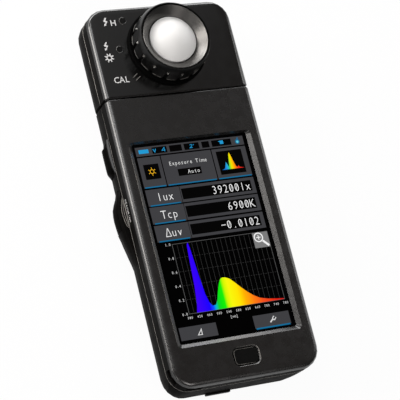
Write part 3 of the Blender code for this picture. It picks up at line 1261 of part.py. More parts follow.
def make_grip():
    foot_top = RING_LOW + GRIP_FOOT_HEIGHT
    web_top = RING_LOW + GRIP_WEB
    band_top = THICKNESS + GRIP_BAND_TOP
    top = THICKNESS + GRIP_TOP
    bore = NECK_RADIUS + GRIP_CLEARANCE
    inside = GRIP_RIM_RADIUS - GRIP_RIM_WIDTH
    levels = [(bore, web_top, 0), (bore, RING_LOW, 0), (GRIP_FOOT_RADIUS, RING_LOW, 0),
              (GRIP_FOOT_RADIUS, foot_top, 0), (GRIP_RADIUS, foot_top, GROOVE_DEPTH),
              (GRIP_RADIUS, band_top - GRIP_FADE, GROOVE_DEPTH), (GRIP_RADIUS, band_top, 0),
              (GRIP_SHOULDER_RADIUS, THICKNESS + GRIP_SHOULDER_TOP, 0), (GRIP_RIM_RADIUS, top, 0),
              (inside, top, 0), (inside, web_top, 0)]
    rings = [grip_ring(radius, z, groove) for radius, z, groove in levels]
    grip = add_piece("ring_grip", loft_mesh("ring_grip", rings, closed=True), "key")
    notch = rod_mesh("index_notch", (-GRIP_RADIUS, RECEPTOR_Y, foot_top - SEAT),
                     band_top - foot_top - GRIP_FADE,
                     INDEX_RADIUS, sides=FINE_SIDES)
    cut(grip, add_cutter("index_notch", notch))
    return grip


def make_dish():
    outer = GRIP_RIM_RADIUS - GRIP_RIM_WIDTH - SEAT
    top = GRIP_TOP - DISH_LIP / 2
    profile = [(outer - DISH_LIP, top), (outer, top - DISH_LIP), (outer, top - DISH_LIP - DISH_THICKNESS),
               (DISH_INNER_RADIUS + DISH_LIP, top - DISH_DEPTH - DISH_THICKNESS),
               (DISH_INNER_RADIUS, top - DISH_DEPTH - DISH_THICKNESS / 2),
               (DISH_INNER_RADIUS, top - DISH_DEPTH)]
    return turned_piece("ring_dish", profile, (0, RECEPTOR_Y, THICKNESS), "dish")


def make_shutter():
    low = FLANGE_LOW + SHUTTER_Z
    disc_radius = NECK_BORE_RADIUS - SEAT
    disc = add_piece("shutter_disc",
                     rod_mesh("shutter_disc", (0, RECEPTOR_Y, low), SHUTTER_THICKNESS, disc_radius,
                                              sides=ROUND_SIDES), "black_part")
    arm = box_mesh("shutter_arm", (-SHUTTER_ARM_WIDTH / 2, RECEPTOR_Y + disc_radius / 2, low),
                   (SHUTTER_ARM_WIDTH / 2, RECEPTOR_Y + NECK_RADIUS, low + SHUTTER_THICKNESS))
    join(disc, add_cutter("shutter_arm", arm))
    hole = rod_mesh("shutter_hole", (0, RECEPTOR_Y, low - OVERRUN), SHUTTER_THICKNESS + 2 * OVERRUN,
                    SHUTTER_HOLE_RADIUS)
    cut(disc, add_cutter("shutter_hole", hole))
    return disc


# Optics

BENCH_LOW = WALL + SEAT
BENCH_TOP = BENCH_LOW + BENCH_HEIGHT
BENCH_Y = HEAD_BOTTOM + BENCH_FROM_SEAM
BENCH_FLOOR = BENCH_LOW + BENCH_WALL + SEAT
LID_TOP = BENCH_TOP + SEAT + LID_THICKNESS
SLIT_TOP = LID_TOP + SEAT + SLIT_PLATE_THICKNESS
HEAD_BOARD_LOW = FRONT_LOW + SEAT


def make_bench():
    half = BENCH_WIDTH / 2
    bench = add_piece("optical_bench", box_mesh("optical_bench", (-half, BENCH_Y, BENCH_LOW),
                                                (half, BENCH_Y + BENCH_LENGTH, BENCH_TOP)), "black_part")
    room = box_mesh("bench_room", (-half + BENCH_WALL, BENCH_Y + BENCH_WALL, BENCH_LOW + BENCH_WALL),
                    (half - BENCH_WALL, BENCH_Y + BENCH_LENGTH - BENCH_WALL, BENCH_TOP + OVERRUN))
    cut(bench, add_cutter("bench_room", room))
    lid = add_piece("bench_lid", box_mesh("bench_lid", (-half, BENCH_Y, BENCH_TOP + SEAT),
                                          (half, BENCH_Y + BENCH_LENGTH, LID_TOP)), "black_part")
    cut(lid, add_cutter("lid_hole", rod_mesh("lid_hole", (0, RECEPTOR_Y, BENCH_TOP - OVERRUN),
                                             LID_THICKNESS + 3 * OVERRUN, LID_HOLE_RADIUS)))
    half = SLIT_PLATE_SIZE / 2
    slit = add_piece("slit_plate", box_mesh("slit_plate", (-half, RECEPTOR_Y - half, LID_TOP + SEAT),
                                            (half, RECEPTOR_Y + half, SLIT_TOP)), "steel")
    gap = box_mesh("slit_cut", (-SLIT_WIDTH / 2, RECEPTOR_Y - SLIT_LENGTH / 2, LID_TOP - OVERRUN),
                   (SLIT_WIDTH / 2, RECEPTOR_Y + SLIT_LENGTH / 2, SLIT_TOP + OVERRUN))
    cut(slit, add_cutter("slit_cut", gap))


def make_optics():
    inner = BENCH_WIDTH / 2 - BENCH_WALL - SEAT
    middle = BENCH_Y + BENCH_LENGTH / 2
    block = box_mesh("collimating_mirror", (inner - MIRROR_THICKNESS, middle - MIRROR_WIDTH / 2, BENCH_FLOOR),
                     (inner, middle + MIRROR_WIDTH / 2, BENCH_FLOOR + MIRROR_HEIGHT))
    mirror = add_piece("collimating_mirror", block, "optic")
    curve = rod_mesh("mirror_curve", (inner - MIRROR_THICKNESS + MIRROR_SAG - MIRROR_CURVE_RADIUS, middle,
                                      BENCH_FLOOR - OVERRUN), MIRROR_HEIGHT + 2 * OVERRUN,
                     MIRROR_CURVE_RADIUS,
                     sides=MIRROR_SIDES)
    cut(mirror, add_cutter("mirror_curve", curve))
    half = GRATING_SIZE / 2
    block = box_mesh("grating", (-GRATING_THICKNESS / 2, -half, 0),
                     (GRATING_THICKNESS / 2, half, GRATING_SIZE))
    grating = add_piece("grating", block, "optic")
    grating.location = (-inner + GRATING_FROM_WALL, middle, BENCH_FLOOR)
    grating.rotation_euler = (0, 0, GRATING_TURN)
    wall = BENCH_Y + BENCH_LENGTH - BENCH_WALL - SEAT
    sensor = box_mesh("line_sensor", (-SENSOR_LENGTH / 2, wall - SENSOR_WIDTH, BENCH_FLOOR),
                      (SENSOR_LENGTH / 2, wall, BENCH_FLOOR + SENSOR_HEIGHT))
    add_piece("line_sensor", sensor, "black_part")
    size = FOLD_MIRROR_SIZE
    slope = [(-size / 2, BENCH_FLOOR), (size / 2, BENCH_FLOOR), (-size / 2, BENCH_FLOOR + size)]
    rings = [[(x, y, z) for x, z in slope] for y in (RECEPTOR_Y - size / 2, RECEPTOR_Y + size / 2)]
    add_piece("fold_mirror", loft_mesh("fold_mirror", rings), "optic")
    tail = FLANGE_LOW - NECK_TAIL - SEAT
    pipe = rod_mesh("light_pipe", (0, RECEPTOR_Y, SLIT_TOP + SEAT), tail - SLIT_TOP - SEAT, PIPE_RADIUS)
    add_piece("light_pipe", pipe, "optic")
    diffuser = rod_mesh("diffuser_plate", (0, RECEPTOR_Y, tail + SEAT), DIFFUSER_HEIGHT,
                        NECK_BORE_RADIUS - SEAT,
                        sides=ROUND_SIDES)
    add_piece("diffuser_plate", diffuser, "dome")


def make_head_board():
    half = HALF_WIDTH - WALL - SEAT
    radius = CORNER_RADIUS - WALL - SEAT
    low = HEAD_BOTTOM + END_WALL + SEAT
    high = HEAD_TOP - WALL - SEAT
    ring = housing_ring(0, half, low, high, SEAM_CORNER_RADIUS, radius, steps=HOLLOW_CORNER_STEPS)
    outline = [(x, y) for x, y, z in ring]
    top = HEAD_BOARD_LOW + BOARD_THICKNESS
    board = add_piece("head_board", plate_mesh("head_board", outline, HEAD_BOARD_LOW, top), "board")
    holes = round_bodies("head_board_holes", HEAD_SCREWS, HEAD_BOARD_LOW - OVERRUN,
                         BOARD_THICKNESS + 2 * OVERRUN,
                         FRONT_BOSS_RADIUS + SEAT)
    cut(board, add_cutter("head_board_holes", holes))
    light = rod_mesh("head_board_light", (0, RECEPTOR_Y, HEAD_BOARD_LOW - OVERRUN),
                     BOARD_THICKNESS + 2 * OVERRUN,
                     PIPE_RADIUS + SEAT)
    cut(board, add_cutter("head_board_light", light))
    flange = rod_mesh("head_board_spindle", (0, HEAD_BOTTOM, SWIVEL_Z),
                      END_WALL + 2 * SEAT + SPINDLE_FLANGE_THICKNESS
                      + SEAT, SPINDLE_FLANGE_RADIUS + SEAT, "Y")
    cut(board, add_cutter("head_board_spindle", flange))
    return board


def main():
    make_front_shell()
    make_rear_shell()
    make_screws("body_screw", BODY_SCREWS)
    make_display()
    make_boards()
    make_cells()
    make_tray()
    make_contacts()
    make_door()
    make_latch()
    make_tripod_insert()
    make_power_button()
    make_side_keys()
    make_usb_port()
    make_sync_terminal()
    make_terminal_cover()
    make_swivel()
    make_head_front()
    make_head_rear()
    make_screws("head_screw", HEAD_SCREWS)
    make_receptor_base()
    make_dome()
    make_grip()
    make_dish()
    make_shutter()
    make_bench()
    make_optics()
    make_head_board()


main()
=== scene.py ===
"""Looks for the handheld spectrometer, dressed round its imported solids.

Units are metres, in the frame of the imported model: X across, +Y towards the head, +Z out of
the display side. The solids keep their shape and get procedural materials. The picture on the
display, the printed marks and the fine trim are pieces of their own.
"""
import functools
import math

import bmesh
import bpy
from mathutils import Matrix, Vector


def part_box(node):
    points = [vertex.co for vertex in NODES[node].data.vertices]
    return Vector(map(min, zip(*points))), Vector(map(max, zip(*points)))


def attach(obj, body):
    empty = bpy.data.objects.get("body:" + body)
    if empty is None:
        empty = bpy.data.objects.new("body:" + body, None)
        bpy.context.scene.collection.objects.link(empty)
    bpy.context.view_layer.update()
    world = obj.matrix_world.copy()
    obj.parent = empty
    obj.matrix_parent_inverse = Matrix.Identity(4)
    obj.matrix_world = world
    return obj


MM = 0.001
QUARTER = math.pi / 2
TURN = 2 * math.pi

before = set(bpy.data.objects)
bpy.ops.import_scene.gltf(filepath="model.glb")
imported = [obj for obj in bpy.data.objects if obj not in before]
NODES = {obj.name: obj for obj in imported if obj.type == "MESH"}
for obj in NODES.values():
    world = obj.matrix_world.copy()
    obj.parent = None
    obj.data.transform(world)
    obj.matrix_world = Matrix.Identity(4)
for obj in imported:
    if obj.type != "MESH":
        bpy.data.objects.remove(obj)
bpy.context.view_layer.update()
FRONT_LOW, FRONT_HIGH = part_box("front_shell")
HEAD_LOW, HEAD_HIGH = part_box("head_front_shell")


# Camera, fitted to the photograph

CAMERA_PLACE = (-326.55, -212.95, 722.62)
CAMERA_RIGHT = (0.90551153, -0.23961012, 0.35019403)
CAMERA_UP = (0.1189403, 0.93554739, 0.33257224)
CAMERA_BACK = (-0.40731078, -0.25949581, 0.87564825)
CAMERA_REACH = (0.01, 20)
FOCAL_PIXELS = 1738.94
FRAME_PIXELS = 400
SENSOR = 36


def add_object(name, data):
    thing = bpy.data.objects.new(name, data)
    bpy.context.scene.collection.objects.link(thing)
    return thing


def make_camera():
    data = bpy.data.cameras.new("camera")
    data.sensor_width = SENSOR
    data.lens = FOCAL_PIXELS / FRAME_PIXELS * SENSOR
    data.clip_start, data.clip_end = CAMERA_REACH
    camera = add_object("camera", data)
    turn = Matrix((CAMERA_RIGHT, CAMERA_UP, CAMERA_BACK)).transposed().to_4x4()
    camera.matrix_world = Matrix.Translation(Vector(CAMERA_PLACE) * MM) @ turn
    bpy.context.scene.camera = camera


# Node helpers

def set_inputs(node, inputs):
    """Links a node's inputs to other nodes' outputs, or sets their values."""
    for key, value in inputs.items():
        if isinstance(value, bpy.types.NodeSocket):
            node.id_data.links.new(value, node.inputs[key])
        else:
            node.inputs[key].default_value = value


def add_node(tree, kind, inputs=None, **settings):
    node = tree.nodes.new(kind)
    for key, value in settings.items():
        setattr(node, key, value)
    set_inputs(node, inputs or {})
    return node


def rgba(colour):
    """A colour with its alpha, from a tuple or from one number for a grey; a node's output stays as it is."""
    if isinstance(colour, bpy.types.NodeSocket):
        return colour
    return (*colour, 1) if isinstance(colour, tuple) else (colour, colour, colour, 1)


def ramp(tree, factor, stops):
    node = add_node(tree, "ShaderNodeValToRGB", {"Fac": factor})
    elements = node.color_ramp.elements
    while len(elements) < len(stops):
        elements.new(0.5)
    for element, (place, colour) in zip(elements, stops):
        element.position = place
        element.color = rgba(colour)
    return node.outputs["Color"]


def spread(tree, factor, ends, places=(0.3, 0.7)):
    """A value that runs from one end to the other while the factor goes between two places."""
    return ramp(tree, factor, list(zip(places, ends)))


def place_of(tree, scale=(1, 1, 1), shift=(0, 0, 0)):
    """Object coordinates, scaled; every piece here has its origin at the frame's origin."""
    where = add_node(tree, "ShaderNodeTexCoord").outputs["Object"]
    return add_node(tree, "ShaderNodeMapping", {"Vector": where, "Scale": scale,
                                                "Location": shift}).outputs["Vector"]


def share_along(tree, axis, start, end):
    """How far a point lies along an axis: 0 at the start, 1 at the end."""
    along = add_node(tree, "ShaderNodeSeparateXYZ", {"Vector": place_of(tree)}).outputs[axis]
    return add_node(tree, "ShaderNodeMapRange", {"Value": along, "From Min": start,
                                                 "From Max": end}).outputs["Result"]


def noise(tree, vector, scale, detail=2):
    return add_node(tree, "ShaderNodeTexNoise", {"Vector": vector, "Scale": scale,
                                                 "Detail": detail}).outputs["Fac"]


def mix_colours(tree, factor, first, second):
    return add_node(tree, "ShaderNodeMix", {0: factor, 6: rgba(first), 7: rgba(second)},
                    data_type="RGBA").outputs[2]


def bump(tree, height, distance):
    return add_node(tree, "ShaderNodeBump", {"Height": height, "Distance": distance}).outputs["Normal"]


def srgb(text):
    """Linear colour of a hexadecimal display colour."""
    values = [int(text[place:place + 2], 16) / 255 for place in (0, 2, 4)]
    return tuple(v / 12.92 if v <= 0.04045 else ((v + 0.055) / 1.055) ** 2.4 for v in values)


# Materials. One number in place of a colour is a grey

MATERIALS = {}
FINE_GRAIN, GRAIN, WALL_GRAIN, RUBBER_GRAIN = 0.0012 * MM, 0.012 * MM, 0.02 * MM, 0.03 * MM
METAL_SCRATCH = 0.004 * MM
CELL_ENDS = (-79.3 * MM, -28.8 * MM)
CELL_DARK = (0.03, 0.03, 0.034)
RECEPTOR = (0, 69.5 * MM)
LIT_DRIFT = 0.08


def new_material(name):
    material = bpy.data.materials.new(name)
    material.use_nodes = True
    MATERIALS[name] = material
    return material.node_tree, material.node_tree.nodes["Principled BSDF"]


def moulded(name, dark, light, roughness, grain=GRAIN, grain_scale=5200, specular=0.5, ior=1.5):
    """Satin moulded plastic: spark-eroded grain, cloudy gloss and slight colour drift."""
    tree, shader = new_material(name)
    where = place_of(tree)
    set_inputs(shader, {
        "Base Color": mix_colours(tree, noise(tree, where, 60, 3), dark, light),
        "Roughness": spread(tree, noise(tree, where, 240, 4), roughness),
        "Specular IOR Level": specular,
        "IOR": ior,
        "Normal": bump(tree, noise(tree, where, grain_scale), grain)})


def metal(name, dark, light, roughness, stretch=(1, 1, 1), scale=900):
    tree, shader = new_material(name)
    streak = noise(tree, place_of(tree, stretch), scale, 3)
    set_inputs(shader, {
        "Base Color": mix_colours(tree, streak, dark, light),
        "Metallic": 1,
        "Roughness": spread(tree, streak, roughness),
        "Normal": bump(tree, streak, METAL_SCRATCH)})


def display_glass():
    """Black-backed cover glass with a low-reflection coating."""
    tree, shader = new_material("display_glass")
    smear = noise(tree, place_of(tree), 90, 4)
    set_inputs(shader, {
        "Base Color": mix_colours(tree, smear, (0.0003, 0.0003, 0.0004), (0.0006, 0.0006, 0.0007)),
        "Roughness": spread(tree, smear, (0.05, 0.09), (0.3, 0.75)),
        "Specular IOR Level": 0.06})


def circuit_board():
    """Green solder mask over a grid of tracks."""
    tree, shader = new_material("circuit_board")
    tracks = add_node(tree, "ShaderNodeTexBrick", {
        "Vector": place_of(tree), "Scale": 260, "Mortar Size": 0.06, "Color1": (0.004, 0.06, 0.02, 1),
        "Color2": (0.006, 0.075, 0.027, 1), "Mortar": (0.014, 0.13, 0.05, 1)})
    set_inputs(shader, {"Base Color": tracks.outputs["Color"], "Roughness": 0.38,
                        "Normal": bump(tree, tracks.outputs["Fac"], 0.03 * MM)})


def cell_wrap():
    """Printed sleeve of a battery cell: dark with a copper band at one end."""
    tree, shader = new_material("cell_wrap")
    set_inputs(shader, {
        "Base Color": ramp(tree, share_along(tree, "Y", *CELL_ENDS), [
            (0, CELL_DARK), (0.66, CELL_DARK), (0.665, (0.5, 0.21, 0.06)), (0.96, (0.52, 0.22, 0.07)),
            (0.965, 0.6)]),
        "Roughness": spread(tree, noise(tree, place_of(tree), 300, 3), (0.22, 0.34)),
        "Metallic": 0.5})


def turned_dish():
    """Dark anodised aluminium, turned: fine rings round the receptor's axis."""
    tree, shader = new_material("turned_aluminium")
    where = place_of(tree, shift=(-RECEPTOR[0], -RECEPTOR[1], 0))
    rings = add_node(tree, "ShaderNodeTexWave", {
        "Vector": where, "Scale": 1500, "Distortion": 0.6, "Detail": 2},
        wave_type="RINGS", rings_direction="Z").outputs["Fac"]
    tangent = add_node(tree, "ShaderNodeTangent", direction_type="RADIAL", axis="Z").outputs["Tangent"]
    set_inputs(shader, {
        "Base Color": mix_colours(tree, rings, (0.102, 0.099, 0.096), (0.142, 0.138, 0.133)),
        "Metallic": 1,
        "Anisotropic": 0.75,
        "Roughness": spread(tree, rings, (0.24, 0.32), (0.2, 0.8)),
        "Tangent": tangent,
        "Normal": bump(tree, rings, 0.006 * MM)})


def opal_dome():
    tree, shader = new_material("opal_dome")
    cloud = noise(tree, place_of(tree), 120, 3)
    set_inputs(shader, {
        "Base Color": mix_colours(tree, cloud, (0.87, 0.87, 0.86), (0.9, 0.9, 0.89)),
        "Roughness": spread(tree, cloud, (0.42, 0.5)),
        "Subsurface Weight": 0.4,
        "Subsurface Radius": (1, 1, 1),
        "Subsurface Scale": 1.5 * MM,
        "Normal": bump(tree, noise(tree, place_of(tree), 4000), 0.006 * MM)})


def clear_rod():
    tree, shader = new_material("clear_acrylic")
    set_inputs(shader, {
        "Base Color": (0.94, 0.96, 0.97, 1),
        "Transmission Weight": 0.9,
        "IOR": 1.49,
        "Roughness": spread(tree, noise(tree, place_of(tree), 400, 3), (0.02, 0.08))})


def light_up(shader, colour):
    """Makes a shader glow in a colour, under a faint gloss."""
    set_inputs(shader, {"Base Color": rgba(0.001), "Roughness": 0.08, "Specular IOR Level": 0.04,
                        "Emission Color": colour, "Emission Strength": 1})


def lit(name, colour):
    """Part of the lit picture: plain light of one colour with the backlight's slight unevenness."""
    tree, shader = new_material(name)
    ends = [tuple(v * share for v in srgb(colour)) for share in (1 - LIT_DRIFT, 1 + LIT_DRIFT)]
    light_up(shader, mix_colours(tree, noise(tree, place_of(tree), 45), *ends))


def rainbow(name, left, right, stops):
    """Lit colours that change along X, between two places in millimetres."""
    tree, shader = new_material(name)
    colours = [(place, srgb(colour)) for place, colour in stops]
    light_up(shader, ramp(tree, share_along(tree, "X", left * MM, right * MM), colours))


def worn_edge(name, dark, light):
    """Painted edge highlight: plastic far paler than the housing, standing in for the light that a thin edge
    or seam catches, in patches that are paler and smoother.
    """
    tree, shader = new_material(name)
    patchiness = noise(tree, place_of(tree), 220, 3)
    set_inputs(shader, {
        "Base Color": mix_colours(tree, spread(tree, patchiness, (0, 1), (0.35, 0.7)), dark, light),
        "Roughness": spread(tree, patchiness, (0.3, 0.22)),
        "Normal": bump(tree, patchiness, 0.01 * MM)})


def make_materials():
    moulded("body_plastic", (0.0028, 0.0024, 0.0022), (0.004, 0.0035, 0.0032), (0.24, 0.3), FINE_GRAIN,
            specular=1)
    moulded("head_plastic", 0.002, 0.003, (0.17, 0.22), FINE_GRAIN, specular=0.85)
    # Duller, darker copies of the plastic by facing, for walls, foot and flanks: partly a matte wall texture,
    # partly painted shade
    for name, specular in (("shaded_wall_plastic", 0.09), ("shaded_foot_wall_plastic", 0.03)):
        moulded(name, (0.0022, 0.002, 0.0018), (0.0035, 0.0032, 0.003), (0.4, 0.5), WALL_GRAIN, 4200,
                specular, 1.15)
    moulded("flank_plastic", (0.0025, 0.0023, 0.002), (0.0038, 0.0034, 0.003), (0.3, 0.38), FINE_GRAIN,
            specular=0.42)
    moulded("key_plastic", 0.003, 0.005, (0.34, 0.44), specular=0.08)
    moulded("side_key_plastic", (0.002, 0.0019, 0.0018), (0.0032, 0.003, 0.0028), (0.38, 0.48),
            specular=0.06, ior=1.15)
    moulded("ring_plastic", 0.0015, 0.003, (0.28, 0.38), specular=0.3)
    # Duller, darker plastic for the discs in the dimples: painted shade of their pits
    moulded("dimple_shade_plastic", 0.0015, 0.003, (0.3, 0.4), specular=0.3)
    moulded("base_plastic", 0.0015, 0.003, (0.45, 0.55), specular=0.06, ior=1.15)
    moulded("cover_rubber", 0.005, 0.008, (0.62, 0.78), RUBBER_GRAIN, 2600, 0.08, 1.2)
    moulded("inner_plastic", (0.012, 0.012, 0.013), 0.02, (0.5, 0.65))
    moulded("white_print", 0.66, 0.76, (0.5, 0.6), 0.004 * MM, 6000)
    metal("steel", (0.48, 0.48, 0.49), (0.6, 0.6, 0.61), (0.26, 0.4), (1, 1, 0.2))
    metal("sheet_metal", (0.55, 0.55, 0.56), (0.66, 0.66, 0.67), (0.3, 0.42), (0.15, 1, 1), 700)
    metal("brass", (0.58, 0.4, 0.16), (0.7, 0.5, 0.22), (0.26, 0.38))
    metal("contact_plating", (0.74, 0.5, 0.18), (0.84, 0.6, 0.24), (0.22, 0.34))
    metal("optic_coating", (0.6, 0.64, 0.68), (0.66, 0.69, 0.72), (0.03, 0.06))
    # Pale beads on edges, seams and ridges are painted highlights, from dim to bright
    worn_edge("worn_edge", (0.08, 0.077, 0.072), (0.15, 0.145, 0.135))
    worn_edge("mid_edge_highlight", (0.14, 0.133, 0.123), (0.22, 0.21, 0.195))
    worn_edge("bright_edge_highlight", (0.22, 0.21, 0.195), (0.36, 0.345, 0.32))
    for make in (display_glass, circuit_board, cell_wrap, turned_dish, opal_dome, clear_rod):
        make()
    for name, colour in PICTURE_COLOURS.items():
        lit("display_" + name, colour)
    rainbow("display_spectrum", GRAPH_LEFT, GRAPH_RIGHT,
            [((wavelength - WAVE_LOW) / (WAVE_HIGH - WAVE_LOW), colour)
             for wavelength, colour in SPECTRUM_COLOURS])
    rainbow("display_rainbow_small", *RAINBOW_ENDS, RAINBOW_COLOURS)


NODE_LOOKS = {
    "body_plastic": "front_shell rear_shell battery_door",
    "head_plastic": "head_front_shell head_rear_shell",
    "key_plastic": "door_latch power_button",
    "side_key_plastic": "measure_button memory_button",
    "ring_plastic": "ring_grip",
    "base_plastic": "receptor_base",
    "cover_rubber": "terminal_cover",
    "inner_plastic": "buzzer harness_connector battery_tray head_harness shutter_disc optical_bench bench_lid"
                     " line_sensor",
    "sheet_metal": "lcd_module lcd_chassis shield_can power_switch measure_switch memory_switch",
    "brass": "tripod_insert swivel_bush",
    "contact_plating": "contact_bridge contact_left contact_right",
    "optic_coating": "fold_mirror collimating_mirror grating",
    "display_glass": "display_glass",
    "circuit_board": "main_board power_board side_key_board head_board",
    "cell_wrap": "cell_left cell_right",
    "turned_aluminium": "ring_dish",
    "opal_dome": "dome diffuser_plate",
    "clear_acrylic": "light_pipe",
}
OTHER_LOOK = "steel"
SMOOTH_ANGLE, MERGE_DISTANCE = math.radians(34), 0.0005 * MM
CORNER_WEIGHT = 60
# Wall finishes, partly painted shade by facing: limits of a face's normal, then places
UPRIGHT, STEEP, SLANTED, BACKWARD, FOOTWARD = 0.1, 0.45, 0.95, -0.5, -0.5
JOINT_FROM, JOINT_TO = 45.2 * MM, 47.3 * MM
WALL_TOP, OUTER_X, OUTER_Y = 19.2 * MM, 32.6 * MM, 88 * MM
WALLED = ("front_shell", "rear_shell", "battery_door", "head_front_shell", "head_rear_shell")


def new_group(name):
    """A group of geometry nodes, the geometry it gets and the socket for the one it gives."""
    group = bpy.data.node_groups.new(name, "GeometryNodeTree")
    for way in ("INPUT", "OUTPUT"):
        group.interface.new_socket("Geometry", in_out=way, socket_type="NodeSocketGeometry")
    return group, group.nodes.new("NodeGroupInput").outputs[0], group.nodes.new("NodeGroupOutput").inputs[0]


def smoothing_group():
    """Geometry nodes that merge split corners and shade smooth across edges flatter than an angle."""
    group, start, end = new_group("smooth_by_angle")
    merge = add_node(group, "GeometryNodeMergeByDistance", {"Geometry": start, "Distance": MERGE_DISTANCE})
    faces = add_node(group, "GeometryNodeSetShadeSmooth", {"Geometry": merge.outputs[0],
                                                           "Shade Smooth": True}, domain="FACE")
    angle = add_node(group, "GeometryNodeInputMeshEdgeAngle").outputs["Unsigned Angle"]
    flat = add_node(group, "FunctionNodeCompare", {"A": angle, "B": SMOOTH_ANGLE}, operation="LESS_EQUAL")
    edges = add_node(group, "GeometryNodeSetShadeSmooth", {"Geometry": faces.outputs[0],
                                                           "Shade Smooth": flat.outputs[0]}, domain="EDGE")
    group.links.new(edges.outputs[0], end)
    return group


def wall_group():
    """Geometry nodes that choose a finish by the way a face looks, partly a matte wall texture and
    partly painted shade by facing: the duller, darker wall finish for upright outer faces, a still
    duller one for those at the foot, and one in between for the steep part of the rounding, the edges
    at the swivel joint and the back."""
    group, start, end = new_group("wall_finish_and_shade")

    def compare(value, operation, limit):
        node = add_node(group, "FunctionNodeCompare", {"A": value, "B": limit}, operation=operation)
        return node.outputs[0]

    def combine(first, operation, second):
        node = add_node(group, "FunctionNodeBooleanMath", {0: first, 1: second}, operation=operation)
        return node.outputs[0]

    def axes(kind):
        vector = add_node(group, kind).outputs[0]
        return add_node(group, "ShaderNodeSeparateXYZ", {"Vector": vector}).outputs

    facing, place = axes("GeometryNodeInputNormal"), axes("GeometryNodeInputPosition")
    away = [add_node(group, "ShaderNodeMath", {0: place[axis]}, operation="ABSOLUTE").outputs[0]
            for axis in "XY"]
    outer = combine(compare(away[0], "GREATER_THAN", OUTER_X), "OR",
                    compare(away[1], "GREATER_THAN", OUTER_Y))
    steep = combine(compare(facing["Z"], "LESS_EQUAL", STEEP), "AND", outer)
    upright = combine(compare(facing["Z"], "LESS_EQUAL", UPRIGHT), "AND", outer)
    at_joint = combine(compare(place["Y"], "GREATER_THAN", JOINT_FROM), "AND",
                       compare(place["Y"], "LESS_THAN", JOINT_TO))
    slanted = combine(at_joint, "AND", compare(facing["Z"], "LESS_THAN", SLANTED))
    walled = combine(upright, "OR", compare(place["Z"], "LESS_EQUAL", WALL_TOP))
    at_foot = combine(walled, "AND", compare(facing["Y"], "LESS_THAN", FOOTWARD))
    geometry = start
    for faces, material in ((combine(steep, "OR", slanted), "flank_plastic"), (walled, "shaded_wall_plastic"),
                            (at_foot, "shaded_foot_wall_plastic"),
                            (compare(facing["Z"], "LESS_THAN", BACKWARD), "flank_plastic")):
        geometry = add_node(group, "GeometryNodeSetMaterial", {
            "Geometry": geometry, "Selection": faces, "Material": MATERIALS[material]}).outputs[0]
    group.links.new(geometry, end)
    return group


def dress_solids():
    smoothing, walls = smoothing_group(), wall_group()
    looks = {name: look for look, names in NODE_LOOKS.items() for name in names.split()}
    for name, node in NODES.items():
        node.data.materials.clear()
        node.data.materials.append(MATERIALS[looks.get(name, OTHER_LOOK)])
        node.modifiers.new("smooth", "NODES").node_group = smoothing
        weighted = node.modifiers.new("normals", "WEIGHTED_NORMAL")
        weighted.keep_sharp = True
        weighted.weight = CORNER_WEIGHT
        if name in WALLED:
            node.modifiers.new("walls", "NODES").node_group = walls


# Shapes of the thin pieces: print, display picture and trim

def as_object(name, shape, material):
    """Makes an object of a bmesh and gives it a finish."""
    mesh = bpy.data.meshes.new(name)
    shape.to_mesh(mesh)
    shape.free()
    mesh.materials.append(MATERIALS[material])
    return add_object(name, mesh)


def as_piece(name, shape, material, body):
    """Makes a closed bmesh a piece that rides on a body."""
    bmesh.ops.recalc_face_normals(shape, faces=shape.faces)
    piece = as_object(name, shape, material)
    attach(piece, body)


def metres(points):
    return [(x * MM, y * MM) for x, y in points]


def band(shape, low, high):
    """Faces between two loops with as many corners."""
    for i in range(len(low)):
        shape.faces.new((low[i - 1], low[i], high[i], high[i - 1]))


def loft(shape, rows):
    """A closed solid through a row of loops."""
    for low, high in zip(rows, rows[1:]):
        band(shape, low, high)
    shape.faces.new(rows[0])
    shape.faces.new(rows[-1][::-1])


def ring(shape, rows):
    """A closed ring through loops: the last one joins the first."""
    for k in range(len(rows)):
        band(shape, rows[k - 1], rows[k])


def prism(shape, outline, low, high):
    """A closed plate on an outline of (x, y) points."""
    floor, roof = [[shape.verts.new((x, y, z)) for x, y in outline] for z in (low, high)]
    shape.faces.new(roof)
    shape.faces.new(floor[::-1])
    band(shape, floor, roof)


def hoop(shape, outer, inner, low, high):
    """A closed flat band between two outlines with as many points."""
    ring(shape, [[shape.verts.new((x, y, z)) for x, y in outline]
                 for outline, z in ((outer, low), (outer, high), (inner, high), (inner, low))])


def circle(x, y, radius, sides=24, start=0):
    angles = [start + TURN * i / sides for i in range(sides)]
    return [(x + radius * math.cos(a), y + radius * math.sin(a)) for a in angles]


SHARPEST_MITRE = 0.3


def offset_line(line, distance):
    """The points of an open line, moved to its left with mitred corners."""
    moved = []
    for i, (x, y) in enumerate(line):
        before, after = line[max(i - 1, 0)], line[min(i + 1, len(line) - 1)]
        first = Vector((x - before[0], y - before[1])) if i else Vector((after[0] - x, after[1] - y))
        second = Vector((after[0] - x, after[1] - y)) if i < len(line) - 1 else first
        first, second = first.normalized(), second.normalized()
        side = Vector((-first.y - second.y, first.x + second.x)).normalized()
        reach = distance / max(side.dot(Vector((-first.y, first.x))), SHARPEST_MITRE)
        moved.append((x + side.x * reach, y + side.y * reach))
    return moved


def stroke(shape, line, width, low, high):
    """A flat line of one width through (x, y) points."""
    prism(shape, offset_line(line, -width / 2) + offset_line(line, width / 2)[::-1], low, high)


CAP_HEIGHT = 0.73
# The stroke across a zero: half its reach, its lean and its width as shares
SLASH_REACH, SLASH_LEAN, SLASH_WIDTH = 0.3, 0.42, 0.05


